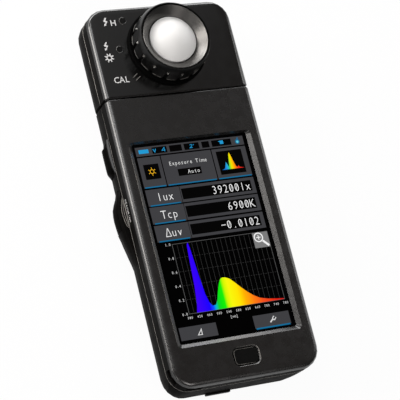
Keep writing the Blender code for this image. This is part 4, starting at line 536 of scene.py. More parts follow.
@functools.cache
def glyph(character, weight):
    """Corners, faces and open edges of a character of the built-in font, at unit size."""
    curve = bpy.data.curves.new("glyph", "FONT")
    curve.body = character
    curve.resolution_u = 2
    curve.offset = weight
    text = add_object("glyph", curve)
    mesh = bpy.data.meshes.new_from_object(text.evaluated_get(bpy.context.evaluated_depsgraph_get()))
    flat = bmesh.new()
    flat.from_mesh(mesh)
    bmesh.ops.remove_doubles(flat, verts=flat.verts, dist=1e-5)
    flat.verts.index_update()
    corners = [(v.co.x, v.co.y) for v in flat.verts]
    faces = [[v.index for v in face.verts] for face in flat.faces]
    rims = [[loop.vert.index, loop.link_loop_next.vert.index]
            for face in flat.faces for loop in face.loops if loop.edge.is_boundary]
    flat.free()
    bpy.data.objects.remove(text)
    bpy.data.curves.remove(curve)
    bpy.data.meshes.remove(mesh)
    return corners, faces, rims


def write(shape, text, x, baseline, height, pitch, squeeze, low, high, slashed=False, weight=-0.008):
    """Closed letters, one in the middle of each cell of a fixed pitch, from x to the right. All but
    the levels are in millimetres."""
    size = height / CAP_HEIGHT
    for place, character in enumerate(text):
        if character == " ":
            continue
        corners, faces, rims = glyph(character, weight)
        middle = (min(u for u, v in corners) + max(u for u, v in corners)) / 2
        centre = x + pitch * (place + 0.5)
        points = metres([(centre + (u - middle) * size * squeeze, baseline + v * size) for u, v in corners])
        floor, roof = [[shape.verts.new((px, py, z)) for px, py in points] for z in (low, high)]
        for face in faces:
            shape.faces.new([roof[i] for i in face])
            shape.faces.new([floor[i] for i in reversed(face)])
        for first, second in rims:
            shape.faces.new((floor[first], floor[second], roof[second], roof[first]))
        if character == "0" and slashed:
            reach, level = height * SLASH_REACH, baseline + height / 2
            line = [(centre + reach * SLASH_LEAN * end, level + reach * end) for end in (-1, 1)]
            stroke(shape, metres(line), height * SLASH_WIDTH * MM, low, high)


# The picture on the display. Places are in millimetres across and along the glass

GLASS_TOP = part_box("display_glass")[1][2]
LAYER = 0.02 * MM
TILE_LEVEL, CELL_LEVEL, TEXT_LEVEL = 1, 2, 3
PICTURE_COLOURS = {
    "tile": "3f3f42", "tile_light": "7c7c7c", "black": "020202", "blue": "126a96", "light_blue": "2299d2",
    "teal": "62c6d8", "orange": "f5b820", "white": "f2f2f2", "caption_white": "d8d8d8",
    "number_white": "cccccc", "grid_grey": "3c3c3c", "frame_grey": "5a5a5a"}

# Blocks are (left, right, low, high), or only two of them where the others are shared
PICTURE_LEFT, PICTURE_RIGHT = -27.6, 27.2
STATUS_ROW = (17.9, 22.3)
STATUS_CELLS = ((-19.4, -12), (-10.7, -4.5), (-3.3, 4.3), (5.7, 9.5), (10.8, 20.8))
STATUS_CELL_ROW = (18.5, 21.6)
TILE_ROW = (2.5, 17.2)
TILES = ((-27.6, -16.4), (-15.9, 9.3), (9.8, 27.2))
TILE_CELLS = ((-25.6, -18.1, 6.4, 13.7), (-9.3, 2.4, 6.4, 9.8), (11.7, 24.7, 4.4, 15.9))
TILE_RULES = ((-27.2, -16.7), (-15.5, 8.8), (10.2, 26.9))
TILE_RULE_ROW = (2.4, 2.95)
ROWS = ((-6.3, 1.6), (-14.9, -6.9), (-23.5, -15.7))
ROW_SPLIT, ROW_SPLIT_HALF = -10.7, 0.12
ROW_RULE, ROW_RULE_FOOT, ROW_RULE_TOP = (-26.7, -11.6), -0.1, 0.45
READING_CELL, READING_MARGIN = (-10.1, 25.3), 1.35
BUTTON_ROW = (-69.8, -63.8)
BUTTONS = ((-27.9, -9.7), (8.8, 27))
BUTTON_RULE = (9.3, 26.5, -70.3, -69.6)

# Words
LABELS = ("lux", "Tcp", "Δuv")
READINGS = ("39200lx", "6900K", "−0.0102")
LABEL_LEFT, READING_RIGHT = -22.9, 24.8
LETTER_HEIGHT, LETTER_PITCH, LETTER_SQUEEZE, LETTER_RISE = 4.2, 2.85, 0.84, 0.1
CAPTIONS = (("Exposure Time", -12.9, 11.9, 1.49), ("Auto", -4.5, 7.2, 1.55))
CAPTION_HEIGHT, CAPTION_WEIGHT = 2, 0.004

# Signs; a line is its width and its points, a disc (x, y, radius, sides)
BATTERY_MARK = (-26.1, -21.2, 19.1, 21)
FLAG_MARKS = ((15, 16.8, 19.4, 21.1), (14.3, 15, 20.6, 20.9))
STATUS_LINES = (
    (0.34, (-18.9, 20.8), (-18.2, 19.3), (-17.5, 20.8)),
    (0.28, (-13.2, 19.1), (-13.2, 21), (-14.5, 19.7), (-12.9, 19.7)),
    (0.28, (-0.3, 20.7), (0.6, 20.9), (0.7, 20.2), (-0.4, 19.3), (0.9, 19.3)),
    (0.3, (1.4, 20.4), (1.6, 21)))
DROP, DROP_TAIL, DROP_GLINT = (24, 19.7, 1.15, 20), (0.5, (24, 20.6), (24.5, 21.7)), (24, 19.6, 0.62, 16)
SUN_SIGN, SUN_SIGN_HOOP = (-21.9, 10.1), (1.1, 0.8)
SUN_SIGN_RAY, SUN_SIGN_WIDTH, SUN_SIGN_RAYS = (1.25, 1.95), 0.27, 6
RAINBOW_OUTLINE = (
    (12.9, 6.7), (24.2, 6.7), (22, 7.2), (21.4, 8), (20.8, 7.3), (20.1, 7.9), (19.4, 10.2), (18.6, 13.8),
    (18.1, 14.9), (17.6, 13.5), (16.9, 9.4), (16.5, 7.8), (16, 9.2), (15.5, 10.4), (15, 9), (14.4, 7.3))
RAINBOW_ENDS = (14, 24)
RAINBOW_COLOURS = (
    (0, "1478d8"), (0.13, "2494e0"), (0.2, "28b8c8"), (0.27, "20c860"), (0.33, "a8dc10"),
    (0.39, "f0e400"), (0.5, "ffb400"), (0.6, "ff6a10"), (0.72, "f83018"), (1, "d81818"))
MAGNIFIER_TILE = (19.1, 26.9, -32.7, -25.3)
LENS, LENS_HOOP = (21.9, -27.7), (2.35, 1.8)
MAGNIFIER_LINES = (
    (0.4, (20.75, -27.7), (23.05, -27.7)), (0.4, (21.9, -28.85), (21.9, -27.9)),
    (0.4, (21.9, -27.5), (21.9, -26.55)), (1, (23.65, -29.45), (26.3, -32.1)))
SET_SQUARE = (((-19.6, -68.4), (-17.1, -68.5), (-17.1, -65.3)),
              ((-18.9, -68.1), (-17.5, -68.15), (-17.5, -66.4)))
WRENCH_LINES = (
    (0.62, (16.9, -67.9), (18.6, -66.4)), (0.5, (18.5, -65.9), (18.4, -66.5), (18.9, -67), (19.6, -66.9)),
    (0.42, (18.5, -66.1), (18.9, -65.5), (19.4, -65.3)), (0.42, (19.3, -66.8), (19.9, -66.4), (20.1, -65.9)))

# The graph: measured light over the visible range, wavelength in nanometres and share of full scale
GRAPH_LEFT, GRAPH_RIGHT, GRAPH_LOW, GRAPH_HIGH = -21.1, 26.9, -58.2, -25.3
WAVE_LOW, WAVE_HIGH, WAVE_STEP = 380, 780, 40
GRAPH_COLUMNS, GRAPH_ROWS = 20, 5
COLUMN_HALF, DASH_HALF, FRAME_HALF = 0.06, 0.07, 0.1
DASH, DASH_GAP = 0.7, 0.55
SPECTRUM = (
    (412, 0), (420, 0.12), (428, 0.38), (433, 0.7), (438, 0.96), (444, 1), (448, 0.9), (452, 0.7),
    (457, 0.46), (463, 0.24), (471, 0.12), (481, 0.065), (495, 0.07), (505, 0.13), (516, 0.25), (528, 0.36),
    (538, 0.42), (548, 0.435), (560, 0.43), (575, 0.405), (592, 0.345), (612, 0.265), (634, 0.185),
    (656, 0.12), (680, 0.07), (710, 0.042), (745, 0.024), (778, 0.012), (778, 0))
SPECTRUM_COLOURS = (
    (380, "3a00d0"), (425, "3c00f4"), (470, "1800ff"), (484, "0a50ff"), (494, "0ab4c8"), (505, "0cd02c"),
    (520, "08e80c"), (534, "18f008"), (546, "d0f800"), (562, "f8f80a"), (596, "ffe400"), (621, "ffb000"),
    (655, "ff7c10"), (690, "f4501c"), (740, "e42410"), (780, "c81414"))
NUMBER_WEIGHT = 0.008
SHARE_NUMBERS = {"x": -24.6, "drop": 0.5, "height": 1.25, "pitch": 0.95}
WAVE_NUMBERS = {"baseline": -60.5, "shift": 1.4, "height": 1.15, "pitch": 0.93}
UNIT_PLACE = (-1.9, -63)


def layer(level):
    """Underside and top of a level of the picture."""
    low = GLASS_TOP + LAYER * (level - 0.5)
    return low, low + LAYER


def figure(shape, outline, level):
    prism(shape, metres(outline), *layer(level))


def block(shape, left, right, low, high, level):
    figure(shape, ((left, low), (right, low), (right, high), (left, high)), level)


def strokes(shape, lines, level=TEXT_LEVEL):
    for width, *line in lines:
        stroke(shape, metres(line), width * MM, *layer(level))


def picture_hoop(shape, place, radii, sides=24):
    outer, inner = [metres(circle(*place, radius, sides)) for radius in radii]
    hoop(shape, outer, inner, *layer(TEXT_LEVEL))


def picture_text(shape, text, x, baseline, height, pitch, slashed=True, weight=-0.012):
    write(shape, text, x, baseline, height, pitch, LETTER_SQUEEZE, *layer(TEXT_LEVEL), slashed, weight)


def graph_x(wavelength):
    return GRAPH_LEFT + (GRAPH_RIGHT - GRAPH_LEFT) * (wavelength - WAVE_LOW) / (WAVE_HIGH - WAVE_LOW)


def graph_y(share):
    return GRAPH_LOW + (GRAPH_HIGH - GRAPH_LOW) * share


def on_display(name, shape, colour):
    as_piece(name, shape, "display_" + colour, "housing")


def display_tiles():
    shape = bmesh.new()
    block(shape, PICTURE_LEFT, PICTURE_RIGHT, *STATUS_ROW, TILE_LEVEL)
    for ends in TILES:
        block(shape, *ends, *TILE_ROW, TILE_LEVEL)
    for row in ROWS:
        block(shape, PICTURE_LEFT, ROW_SPLIT - ROW_SPLIT_HALF, *row, TILE_LEVEL)
        block(shape, ROW_SPLIT + ROW_SPLIT_HALF, PICTURE_RIGHT, *row, TILE_LEVEL)
    for ends in BUTTONS:
        block(shape, *ends, *BUTTON_ROW, TILE_LEVEL)
    on_display("display_tiles", shape, "tile")

    shape = bmesh.new()
    for ends in STATUS_CELLS:
        block(shape, *ends, *STATUS_CELL_ROW, CELL_LEVEL)
    for cell in TILE_CELLS:
        block(shape, *cell, CELL_LEVEL)
    for low, high in ROWS:
        block(shape, *READING_CELL, low + READING_MARGIN, high - READING_MARGIN, CELL_LEVEL)
    on_display("display_cells", shape, "black")


def display_rules():
    """Blue marks: lines under what can be pressed, and the signs of the status row."""
    shape = bmesh.new()
    for ends in TILE_RULES:
        block(shape, *ends, *TILE_RULE_ROW, CELL_LEVEL)
    for low, high in ROWS:
        block(shape, *ROW_RULE, low + ROW_RULE_FOOT, low + ROW_RULE_TOP, CELL_LEVEL)
    block(shape, *BUTTON_RULE, CELL_LEVEL)
    figure(shape, circle(*DROP), CELL_LEVEL)
    strokes(shape, [DROP_TAIL], CELL_LEVEL)
    on_display("display_rules", shape, "blue")

    shape = bmesh.new()
    block(shape, *BATTERY_MARK, CELL_LEVEL)
    strokes(shape, STATUS_LINES)
    for mark in FLAG_MARKS:
        block(shape, *mark, TEXT_LEVEL)
    on_display("display_status_marks", shape, "light_blue")

    shape = bmesh.new()
    figure(shape, circle(*DROP_GLINT), TEXT_LEVEL)
    on_display("display_status_sign", shape, "teal")


def display_words():
    shape = bmesh.new()
    for (low, high), label, reading in zip(ROWS, LABELS, READINGS):
        baseline = (low + high) / 2 - LETTER_HEIGHT / 2 + LETTER_RISE
        for text, x in ((label, LABEL_LEFT), (reading, READING_RIGHT - LETTER_PITCH * len(reading))):
            picture_text(shape, text, x, baseline, LETTER_HEIGHT, LETTER_PITCH)
    on_display("display_words", shape, "white")

    shape = bmesh.new()
    for text, x, baseline, pitch in CAPTIONS:
        picture_text(shape, text, x, baseline, CAPTION_HEIGHT, pitch, False, CAPTION_WEIGHT)
    on_display("display_caption", shape, "caption_white")


def display_signs():
    """Sun, small rainbow, magnifier, set square and wrench."""
    shape = bmesh.new()
    x, y = SUN_SIGN
    picture_hoop(shape, SUN_SIGN, SUN_SIGN_HOOP, 16)
    angles = [TURN * (turn + 0.5) / SUN_SIGN_RAYS for turn in range(SUN_SIGN_RAYS)]
    strokes(shape, [[SUN_SIGN_WIDTH] + [(x + reach * math.cos(a), y + reach * math.sin(a))
                                              for reach in SUN_SIGN_RAY] for a in angles])
    on_display("display_sun", shape, "orange")

    shape = bmesh.new()
    figure(shape, RAINBOW_OUTLINE, TEXT_LEVEL)
    on_display("display_rainbow", shape, "rainbow_small")

    shape = bmesh.new()
    block(shape, *MAGNIFIER_TILE, CELL_LEVEL)
    on_display("display_magnifier_tile", shape, "tile_light")

    shape = bmesh.new()
    picture_hoop(shape, LENS, LENS_HOOP)
    strokes(shape, MAGNIFIER_LINES)
    on_display("display_magnifier", shape, "white")

    shape = bmesh.new()
    hoop(shape, *[metres(outline) for outline in SET_SQUARE], *layer(TEXT_LEVEL))
    strokes(shape, WRENCH_LINES)
    on_display("display_button_signs", shape, "caption_white")


def display_graph():
    shape = bmesh.new()
    for column in range(1, GRAPH_COLUMNS):
        x = GRAPH_LEFT + (GRAPH_RIGHT - GRAPH_LEFT) * column / GRAPH_COLUMNS
        block(shape, x - COLUMN_HALF, x + COLUMN_HALF, GRAPH_LOW + DASH_GAP, GRAPH_HIGH - DASH_GAP,
                      TILE_LEVEL)
    for row in range(1, GRAPH_ROWS):
        y = graph_y(row / GRAPH_ROWS)
        x = GRAPH_LEFT + DASH_GAP
        while x + DASH < GRAPH_RIGHT:
            block(shape, x, x + DASH, y - DASH_HALF, y + DASH_HALF, TILE_LEVEL)
            x += DASH + DASH_GAP
    on_display("graph_grid", shape, "grid_grey")

    shape = bmesh.new()
    half = FRAME_HALF
    for x in (GRAPH_LEFT, GRAPH_RIGHT):
        block(shape, x - half, x + half, GRAPH_LOW - half, GRAPH_HIGH + half, CELL_LEVEL)
    for y in (GRAPH_LOW, GRAPH_HIGH):
        block(shape, GRAPH_LEFT + half, GRAPH_RIGHT - half, y - half, y + half, CELL_LEVEL)
    on_display("graph_frame", shape, "frame_grey")

    shape = bmesh.new()
    figure(shape, [(graph_x(wave), graph_y(share)) for wave, share in SPECTRUM], CELL_LEVEL)
    on_display("graph_spectrum", shape, "spectrum")

    shape = bmesh.new()
    shares, waves = SHARE_NUMBERS, WAVE_NUMBERS
    texts = [("%.1f" % (step / GRAPH_ROWS), shares["x"], graph_y(step / GRAPH_ROWS) - shares["drop"], shares)
             for step in range(GRAPH_ROWS + 1)]
    texts += [(str(wave), graph_x(wave) - waves["shift"], waves["baseline"], waves)
              for wave in range(WAVE_LOW, WAVE_HIGH + 1, WAVE_STEP)]
    for text, x, y, size in texts + [("[nm]", *UNIT_PLACE, shares)]:
        picture_text(shape, text, x, y, size["height"], size["pitch"], False, NUMBER_WEIGHT)
    on_display("graph_numbers", shape, "number_white")


# Print and moulded signs on the head. Values without MM are in millimetres

HEAD_FACE = HEAD_HIGH[2]
PRINT = 0.03 * MM
BOLT_PLACES, BOLT_HEIGHT = ((-27.5, 84.7), (-30.1, 72.5)), 4.3
BOLT_SHARES = (
    (0.07, 0.5), (-0.17, 0.12), (-0.18, 0.03), (0.06, -0.05), (-0.04, -0.24), (-0.14, -0.18),
    (-0.21, -0.49), (0.07, -0.38), (0.04, -0.3), (0.29, 0.06), (0.05, 0.14), (0.24, 0.48))
SUN_PLACE, SUN_HOLE, SUN_RAYS = (-29.7, 66.75), 0.8, 8
# Corners of a ray: distance from the centre, and shift round it as a share of their spacing
SUN_CORNERS = ((2.3, -0.1), (2.254, 0.1), (1.3, -0.1), (1.3, 0.1))
SUN_START = 1.5
# Text, left end, baseline, height, pitch, squeeze and weight
HEAD_WORDS = (("H", -25.35, 82.5, 3, 3.4, 1, 0.012), ("CAL", -30.2, 53.9, 3.15, 2.68, 0.92, 0.01))
SIGN_FOOT, SIGN_TOP = HEAD_FACE - 0.05 * MM, HEAD_FACE + 0.14 * MM
DIMPLES = ((-18.7, 84.5), (-23.6, 70.4))
DIMPLE_RADIUS, DIMPLE_MARGIN, DIMPLE_SIDES, DIMPLE_TOP = 1.65, 0.2, 28, HEAD_FACE + 0.02 * MM
RIM_WIDTH, RIM_HEIGHT, RIM_STEPS, RIM_SIDES = 0.42, 0.15 * MM, 6, 32
GLINT, GLINT_LEVEL, GLINT_STEPS, GLINT_SPAN = 0.1 * MM, HEAD_FACE + 0.09 * MM, 24, slice(5, 18)
CAL_SIGN, CAL_SIGN_SIDE, CAL_SIGN_REACH, CAL_SIGN_WIDTH = (-18.7, 56), 0.95, 1.6, 0.36
# Section of a moulded bar: shares of its half width and of its height
BAR_SECTION = ((1, 0), (0.8, 0.72), (0.25, 1), (-0.25, 1), (-0.8, 0.72), (-1, 0))


def head_print():
    shape = bmesh.new()
    levels = HEAD_FACE - PRINT / 3, HEAD_FACE + PRINT
    for x, y in BOLT_PLACES:
        prism(shape, metres([(x + u * BOLT_HEIGHT, y + v * BOLT_HEIGHT) for u, v in BOLT_SHARES]), *levels)
    x, y = SUN_PLACE
    count = len(SUN_CORNERS) * SUN_RAYS
    outer = []
    for i, (reach, shift) in enumerate(SUN_CORNERS * SUN_RAYS):
        a = TURN * (SUN_START + i + shift) / count
        outer.append((x + reach * math.cos(a), y + reach * math.sin(a)))
    inner = circle(x, y, SUN_HOLE, count, TURN * SUN_START / count)
    hoop(shape, metres(outer), metres(inner), *levels)
    for text, x, baseline, height, pitch, squeeze, weight in HEAD_WORDS:
        write(shape, text, x, baseline, height, pitch, squeeze, *levels, weight=weight)
    as_piece("head_print", shape, "white_print", "head")


def head_signs():
    """Moulded signs beside the ring: a dimple for each receptor position and a square for the dark one.
    The square's bars are pale, a painted highlight; each dimple gets a pale arc on its rim, a painted
    highlight, and a dull dark disc inside it, painted shade for its pit.
    """
    shape = bmesh.new()
    for x, y in DIMPLES:
        rows = []
        for a in [math.pi * k / RIM_STEPS for k in range(RIM_STEPS + 1)]:
            outline = metres(circle(x, y, DIMPLE_RADIUS + RIM_WIDTH / 2 * math.cos(a), RIM_SIDES))
            z = SIGN_FOOT + RIM_HEIGHT * math.sin(a)
            rows.append([shape.verts.new((px, py, z)) for px, py in outline])
        ring(shape, rows)
    as_piece("dimple_rims", shape, "head_plastic", "head")

    shape = bmesh.new()
    centre = Vector(CAL_SIGN) * MM
    out = (centre - Vector(RECEPTOR)).normalized() * MM
    side = Vector((-out.y, out.x))
    for offset in (-CAL_SIGN_SIDE, CAL_SIGN_SIDE):
        middle = centre + side * offset
        rows = []
        for end in (-CAL_SIGN_REACH, CAL_SIGN_REACH):
            rows.append([shape.verts.new((*(middle + out * end + side * CAL_SIGN_WIDTH / 2 * share),
                                          SIGN_FOOT + (SIGN_TOP - SIGN_FOOT) * rise))
                         for share, rise in BAR_SECTION])
        loft(shape, rows)
    # The square's bars are pale: a painted highlight on its moulded ridges.
    as_piece("head_signs", shape, "mid_edge_highlight", "head")

    # Painted highlight: a pale arc along the upper-left half of each dimple's rim.
    arcs = [[(px, py, GLINT_LEVEL) for px, py in metres(circle(x, y, DIMPLE_RADIUS, GLINT_STEPS)[GLINT_SPAN])]
            for x, y in DIMPLES]
    tube_piece("dimple_lights", arcs, GLINT, "worn_edge", "head")

    # Painted shade: a dull, darker disc inside each rim stands in for the dimple's pit.
    shape = bmesh.new()
    for x, y in DIMPLES:
        outline = circle(x, y, DIMPLE_RADIUS - DIMPLE_MARGIN, DIMPLE_SIDES)
        prism(shape, metres(outline), SIGN_FOOT, DIMPLE_TOP)
    as_piece("head_dimple_shades", shape, "dimple_shade_plastic", "head")


# Fine trim in pale plastic along edges of the moulded pieces: painted highlights where they catch the light

GRIP_RADIUS, GROOVES = 18 * MM, 16
BAND_FOOT, BAND_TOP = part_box("ring_grip")[0][2] + 0.9 * MM, HEAD_FACE + 9.9 * MM
PAD_SPAN, PAD_STEPS = (0.17, 0.83), 6
PAD_EDGE, PAD_EDGE_RISE, PAD_EDGE_BEAD = GRIP_RADIUS + 0.02 * MM, 0.12 * MM, 0.16 * MM
GROOVE_BED, GROOVE_TOP = GRIP_RADIUS - 0.25 * MM, BAND_TOP - 0.3 * MM
# Painted highlight at the upper end of a groove: half width, depth and height of each section, then the
# section's corners
GROOVE_ROWS = ((0.25, -0.2, -1.3), (0.75, 0.1, -0.45), (0.55, 0.12, 0))
GROOVE_SECTION = ((-1, 1), (1, 1), (0.8, -3), (-0.8, -3))
TUBE_TIP = 0.4

SHELL_SIDE, BODY_END, PARTING = FRONT_LOW
SEAM_CORNER, SEAM_BEAD, SEAM_RISE, SEAM_MARGIN = 9.5 * MM, 0.13 * MM, 0.02 * MM, 0.6 * MM
SIGHT_LEFT, SIGHT_ENDS, SIGHT_STEPS = -31 * MM, (-71 * MM, 22 * MM), 6
SIGHT_RISE, SIGHT_BEAD = 0.01 * MM, 0.12 * MM
POWER_PLACE, POWER_HALF, POWER_CORNER = (0.2 * MM, -81.5 * MM), (5.9 * MM, 3.7 * MM), 2 * MM
HOLE_MARGIN, KEY_MARGIN = 0.8 * MM, -0.2 * MM
# Painted highlights on the rims of the power button, only over the steps of each loop that catch the light:
# name, material, body, slot, margin, level, bead and the steps that they span
POWER_RIMS = (
    ("power_hole_highlight", "bright_edge_highlight", "housing", "shell", HOLE_MARGIN, FRONT_HIGH[2], 0.15 * MM, (28, 34)),
    ("power_hole_rim_highlight", "worn_edge", "housing", "shell", HOLE_MARGIN, FRONT_HIGH[2], 0.1 * MM, (23, 37)),
    ("power_button_rim_highlight", "worn_edge", "power_button", "key", KEY_MARGIN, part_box("power_button")[1][2],
     0.13 * MM, (10, 25)))


def tube_piece(name, lines, radius, material, body, sides=6):
    """Thin rounded beads along lines of 3-D points; a line is a closed loop when its ends agree."""
    shape = bmesh.new()
    for line in lines:
        points = [Vector(p) for p in line]
        closed = (points[0] - points[-1]).length < 1e-6
        if closed:
            points.pop()
        last = len(points) - 1
        rows = []
        for i, point in enumerate(points):
            before = points[i - 1] if closed or i else point
            after = points[(i + 1) % len(points)] if closed or i < last else point
            along = (after - before).normalized()
            across = along.cross(Vector((0, 0, 1)))
            across = across.normalized() if across.length > 0.05 else Vector((1, 0, 0))
            up = across.cross(along)
            thick = radius if closed or 0 < i < last else radius * TUBE_TIP
            rows.append([shape.verts.new(point + across * u + up * v) for u, v in circle(0, 0, thick, sides)])
        if closed:
            ring(shape, rows)
        else:
            loft(shape, rows)
    as_piece(name, shape, material, body)


def ring_trim():
    """Painted highlights: a pale bead along the lower edge of each grip pad and a pale tip at the
    upper end of each groove, where these edges catch the light.
    """
    start, end = PAD_SPAN
    spacing = TURN / GROOVES
    lines = []
    for index in range(GROOVES):
        angles = [(index + start + (end - start) * k / PAD_STEPS) * spacing for k in range(PAD_STEPS + 1)]
        lines.append([(RECEPTOR[0] + PAD_EDGE * math.cos(a), RECEPTOR[1] + PAD_EDGE * math.sin(a),
                       BAND_FOOT + PAD_EDGE_RISE) for a in angles])
    tube_piece("grip_edge_highlights", lines, PAD_EDGE_BEAD, "worn_edge", "light_ring")

    shape = bmesh.new()
    for a in [index * spacing for index in range(GROOVES)]:
        out, side = Vector((math.cos(a), math.sin(a), 0)), Vector((-math.sin(a), math.cos(a), 0))
        foot = Vector((*RECEPTOR, GROOVE_TOP)) + out * GROOVE_BED
        loft(shape, [[shape.verts.new(foot + (side * s * width + out * deep * depth + Vector((0, 0, z))) * MM)
                      for s, depth in GROOVE_SECTION] for width, deep, z in GROOVE_ROWS])
    as_piece("groove_end_highlights", shape, "worn_edge", "light_ring")


def rounded_path(x0, x1, y0, y1, radius, z, steps=5):
    """A closed loop of 3-D points round a rectangle with rounded corners."""
    points = []
    for cx, cy, start in ((x1 - radius, y0 + radius, -QUARTER), (x1 - radius, y1 - radius, 0),
                          (x0 + radius, y1 - radius, QUARTER), (x0 + radius, y0 + radius, 2 * QUARTER)):
        for a in [start + QUARTER * k / steps for k in range(steps + 1)]:
            points.append((cx + radius * math.cos(a), cy + radius * math.sin(a), z))
    return points + points[:1]


def seam_path(near, far, z, steps=6):
    """A U round the closed end of a shell, at the joint of its halves: up one side and down the other."""
    side, turn = -SHELL_SIDE, 1 if far > 0 else -1
    straight = abs(far) - SEAM_CORNER
    points = [(side, near + (turn * straight - near) * k / steps, z) for k in range(steps)]
    for a in [QUARTER * k / steps for k in range(steps + 1)]:
        points.append((side - SEAM_CORNER + SEAM_CORNER * math.cos(a),
                       turn * (straight + SEAM_CORNER * math.sin(a)), z))
    return points + [(-x, y, z) for x, y, z in points[::-1]]


def housing_trim():
    """Painted highlights as pale beads: along the joint of the shells, the left edge of the sight and
    parts of the rims of the power button.
    """
    seam = seam_path(FRONT_HIGH[1] - SEAM_MARGIN, BODY_END, PARTING + SEAM_RISE)
    tube_piece("parting_line_highlight", [seam], SEAM_BEAD, "mid_edge_highlight", "housing")
    seam = seam_path(HEAD_LOW[1] + SEAM_MARGIN, HEAD_HIGH[1], HEAD_LOW[2] + SEAM_RISE)
    tube_piece("head_parting_line_highlight", [seam], SEAM_BEAD, "bright_edge_highlight", "head")
    low, high = SIGHT_ENDS
    rim = [(SIGHT_LEFT, low + (high - low) * k / SIGHT_STEPS, FRONT_HIGH[2] + SIGHT_RISE)
           for k in range(SIGHT_STEPS + 1)]
    # Pale bead along the left edge of the sight only: a painted highlight.
    tube_piece("sight_rim_highlight", [rim], SIGHT_BEAD, "worn_edge", "housing")
    x, y = POWER_PLACE
    for name, material, body, slot, margin, z, bead, span in POWER_RIMS:
        wide, high = POWER_HALF[0] + margin, POWER_HALF[1] + margin
        loop = rounded_path(x - wide, x + wide, y - high, y + high, POWER_CORNER + margin, z)
        tube_piece(name, [(loop + loop[1:])[slice(*span)]], bead, material, body)


# The left side: raised loop with a painted highlight and lettering by the measuring button, light strip over
# the memory button

SHOULDER = ((16.7, 1), (17.7, 0.79), (18.1, 0.7), (18.6, 0.25), (18.7, 0.12), (19, 0))
SHOULDER_BULGE = ((-16, 3.02), (-8, 3.16), (-4, 3.14), (1, 1.9), (4, 1.2))
SHOULDER_GAP = 0.05
LOOPS = ((-13.2, 1.7, 18.3, 19.35), (-12.4, 0.9, 18.6, 19.1))
LOOP_STEPS, LOOP_BEAD = 12, 0.09 * MM
SIDE_WORD, SIDE_WORD_HEIGHT, SIDE_WORD_PITCH, SIDE_WORD_SQUEEZE = "MEASURING", 1.5, 1.21, 0.75
SIDE_WORD_FROM, SIDE_WORD_LOW = -0.3 * MM, 20.7 * MM
BROW_ROWS = ((14, 18, 18.7, 0.15), (17, 17.6, 18.9, 0.75), (22, 17.5, 18.95, 1.02), (27, 17.5, 18.95, 0.9),
             (30.2, 17.7, 18.9, 0.55))
# Light strip: how far its lower and upper edge stand out, from the bulge there, and how deep it is set
BROW_LOW_OUT, BROW_HIGH_SHARE, BROW_HIGH_OUT, BROW_SET = 0.05, 0.3, 0.2, -0.1


def between(table, place):
    for (low, first), (high, second) in zip(table, table[1:]):
        if place <= high:
            return first + (second - first) * max(place - low, 0) / (high - low)
    return table[-1][1]


def on_shoulder(y, z):
    """A point in metres on the sloping shoulder over the measuring button, given in millimetres."""
    out = between(SHOULDER_BULGE, y) * between(SHOULDER, z) + SHOULDER_GAP
    return SHELL_SIDE - out * MM, y * MM, z * MM


def side_marks():
    lines = []
    for start, end, low, high in LOOPS:
        shares = [k / LOOP_STEPS for k in range(LOOP_STEPS + 1)]
        middle = (low + high) / 2
        halves = [[on_shoulder(start + (end - start) * share,
                               middle + (edge - middle) * math.sin(math.pi * share) ** 0.5)
                   for share in shares] for edge in (low, high)]
        lines.append(halves[0] + halves[1][-2::-1])
    # Pale beads: painted highlight on the edges of the raised loop.
    tube_piece("measure_loop_highlights", lines, LOOP_BEAD, "bright_edge_highlight", "housing")

    shape = bmesh.new()
    write(shape, SIDE_WORD, 0, 0, SIDE_WORD_HEIGHT, SIDE_WORD_PITCH, SIDE_WORD_SQUEEZE, -PRINT / 3, PRINT)
    for v in shape.verts:
        v.co = Vector((SHELL_SIDE - v.co.z, SIDE_WORD_FROM - v.co.x, SIDE_WORD_LOW + v.co.y))
    as_piece("side_word", shape, "white_print", "housing")

    shape = bmesh.new()
    rows = []
    for y, low, high, bulge in BROW_ROWS:
        section = ((low, bulge + BROW_LOW_OUT), (high, bulge * BROW_HIGH_SHARE + BROW_HIGH_OUT),
                   (high, BROW_SET), (low, BROW_SET))
        rows.append([shape.verts.new((SHELL_SIDE - deep * MM, y * MM, z * MM)) for z, deep in section])
    loft(shape, rows)
    as_piece("brow_strip", shape, "body_plastic", "housing")


# Stage

SKY_TILT = (0, 0.6, 0.8)
SKY = ((0, 0.09), (0.4, 0.11), (0.868, (0.1, 0.084, 0.078)), (0.903, 0.385), (1, 0.33))
HORIZON, HORIZON_FADE = ((0, 0.4), (0.3, 0.95)), ((0.03, 1), (0.09, 0))
FLOOR_SIZE, FLOOR_LEVEL, FLOOR_GREY, FLOOR_GLOW = 3, -0.2 * MM, 0.94, 0.95
LIGHT_TARGET = (0, 0, 0.01)
WHITE, WARM, WARMER = (1, 1, 1), (1, 0.965, 0.93), (1, 0.95, 0.92)
# Name, direction, distance, width, height, brightness and colour
LIGHTS = (
    ("edge_strip", (-0.87, 0.375, 0.32), 1.1, 0.5, 0.6, 8.4, WARM),
    ("key_softbox", (-0.42, 0.42, 0.8), 1.15, 0.5, 0.5, 3.7, WHITE),
    ("corner_card", (-0.72, -0.52, 0.46), 1.1, 0.35, 0.3, 2.6, WARM),
    ("corner_strip", (-0.61, 0.78, 0.23), 1.1, 0.8, 0.32, 5, WARM),
    ("front_fill", (0.02, -0.62, 0.78), 1.15, 0.5, 0.5, 4.2, WARMER),
    ("right_fill", (0.76, 0.24, 0.6), 1.15, 0.35, 0.35, 3, WHITE),
    ("head_strip", (0.02, 0.98, 0.19), 1.1, 1.35, 0.45, 5.5, WHITE),
    ("side_card", (0.95, 0.2, 0.2), 1.1, 0.55, 0.45, 1.4, WHITE),
    ("foot_card", (0.4, -0.9, 0.12), 1.1, 0.6, 0.25, 0.35, WHITE))


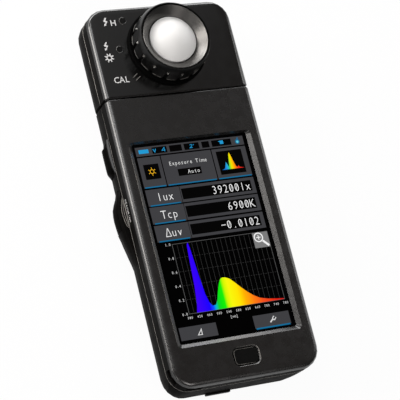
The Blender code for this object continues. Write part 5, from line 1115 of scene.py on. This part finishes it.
def make_stage():
    world = bpy.data.worlds.new("studio")
    world.use_nodes = True
    bpy.context.scene.world = world
    tree = world.node_tree
    where = add_node(tree, "ShaderNodeTexCoord").outputs["Generated"]
    axes = add_node(tree, "ShaderNodeSeparateXYZ", {"Vector": where}).outputs
    tilted = add_node(tree, "ShaderNodeVectorMath", {0: where, 1: SKY_TILT}, operation="DOT_PRODUCT")
    light = mix_colours(tree, ramp(tree, axes["Z"], HORIZON_FADE), ramp(tree, tilted.outputs["Value"], SKY),
                        ramp(tree, axes["Y"], HORIZON))
    set_inputs(tree.nodes["Background"], {"Color": light})

    shape = bmesh.new()
    bmesh.ops.create_grid(shape, x_segments=1, y_segments=1, size=FLOOR_SIZE)
    tree, shader = new_material("floor")
    set_inputs(shader, {"Base Color": rgba(FLOOR_GREY), "Roughness": 0.9, "Specular IOR Level": 0})
    glow = add_node(tree, "ShaderNodeEmission", {"Color": rgba(1), "Strength": 1})
    path = add_node(tree, "ShaderNodeLightPath").outputs
    seen = path["Is Camera Ray"]
    for kind in ("Is Glossy Ray", "Is Transmission Ray"):
        seen = add_node(tree, "ShaderNodeMath", {0: seen, 1: path[kind]}, operation="MAXIMUM").outputs[0]
    share = add_node(tree, "ShaderNodeMath", {0: seen, 1: FLOOR_GLOW}, operation="MULTIPLY").outputs[0]
    mix = add_node(tree, "ShaderNodeMixShader", {"Fac": share, 1: shader.outputs[0], 2: glow.outputs[0]})
    set_inputs(tree.nodes["Material Output"], {"Surface": mix.outputs[0]})
    floor = as_object("floor", shape, "floor")
    floor.location = (0, 0, FLOOR_LEVEL)


def make_lights():
    """Rectangular lights that face the instrument, each given by its brightness."""
    target = Vector(LIGHT_TARGET)
    for name, direction, distance, width, height, radiance, colour in LIGHTS:
        data = bpy.data.lights.new(name, "AREA")
        data.shape = "RECTANGLE"
        data.size, data.size_y = width, height
        data.energy = radiance * math.pi * width * height
        data.color = colour
        light = add_object(name, data)
        place = Vector(direction).normalized() * distance
        turn = (target - place).to_track_quat("-Z", "Y").to_matrix().to_4x4()
        light.matrix_world = Matrix.Translation(place) @ turn


for make in (make_camera, make_materials, dress_solids, display_tiles, display_rules, display_words,
             display_signs, display_graph, head_print, head_signs, ring_trim, housing_trim, side_marks,
             make_stage, make_lights):
    make()
bpy.context.scene.view_settings.view_transform = "Standard"
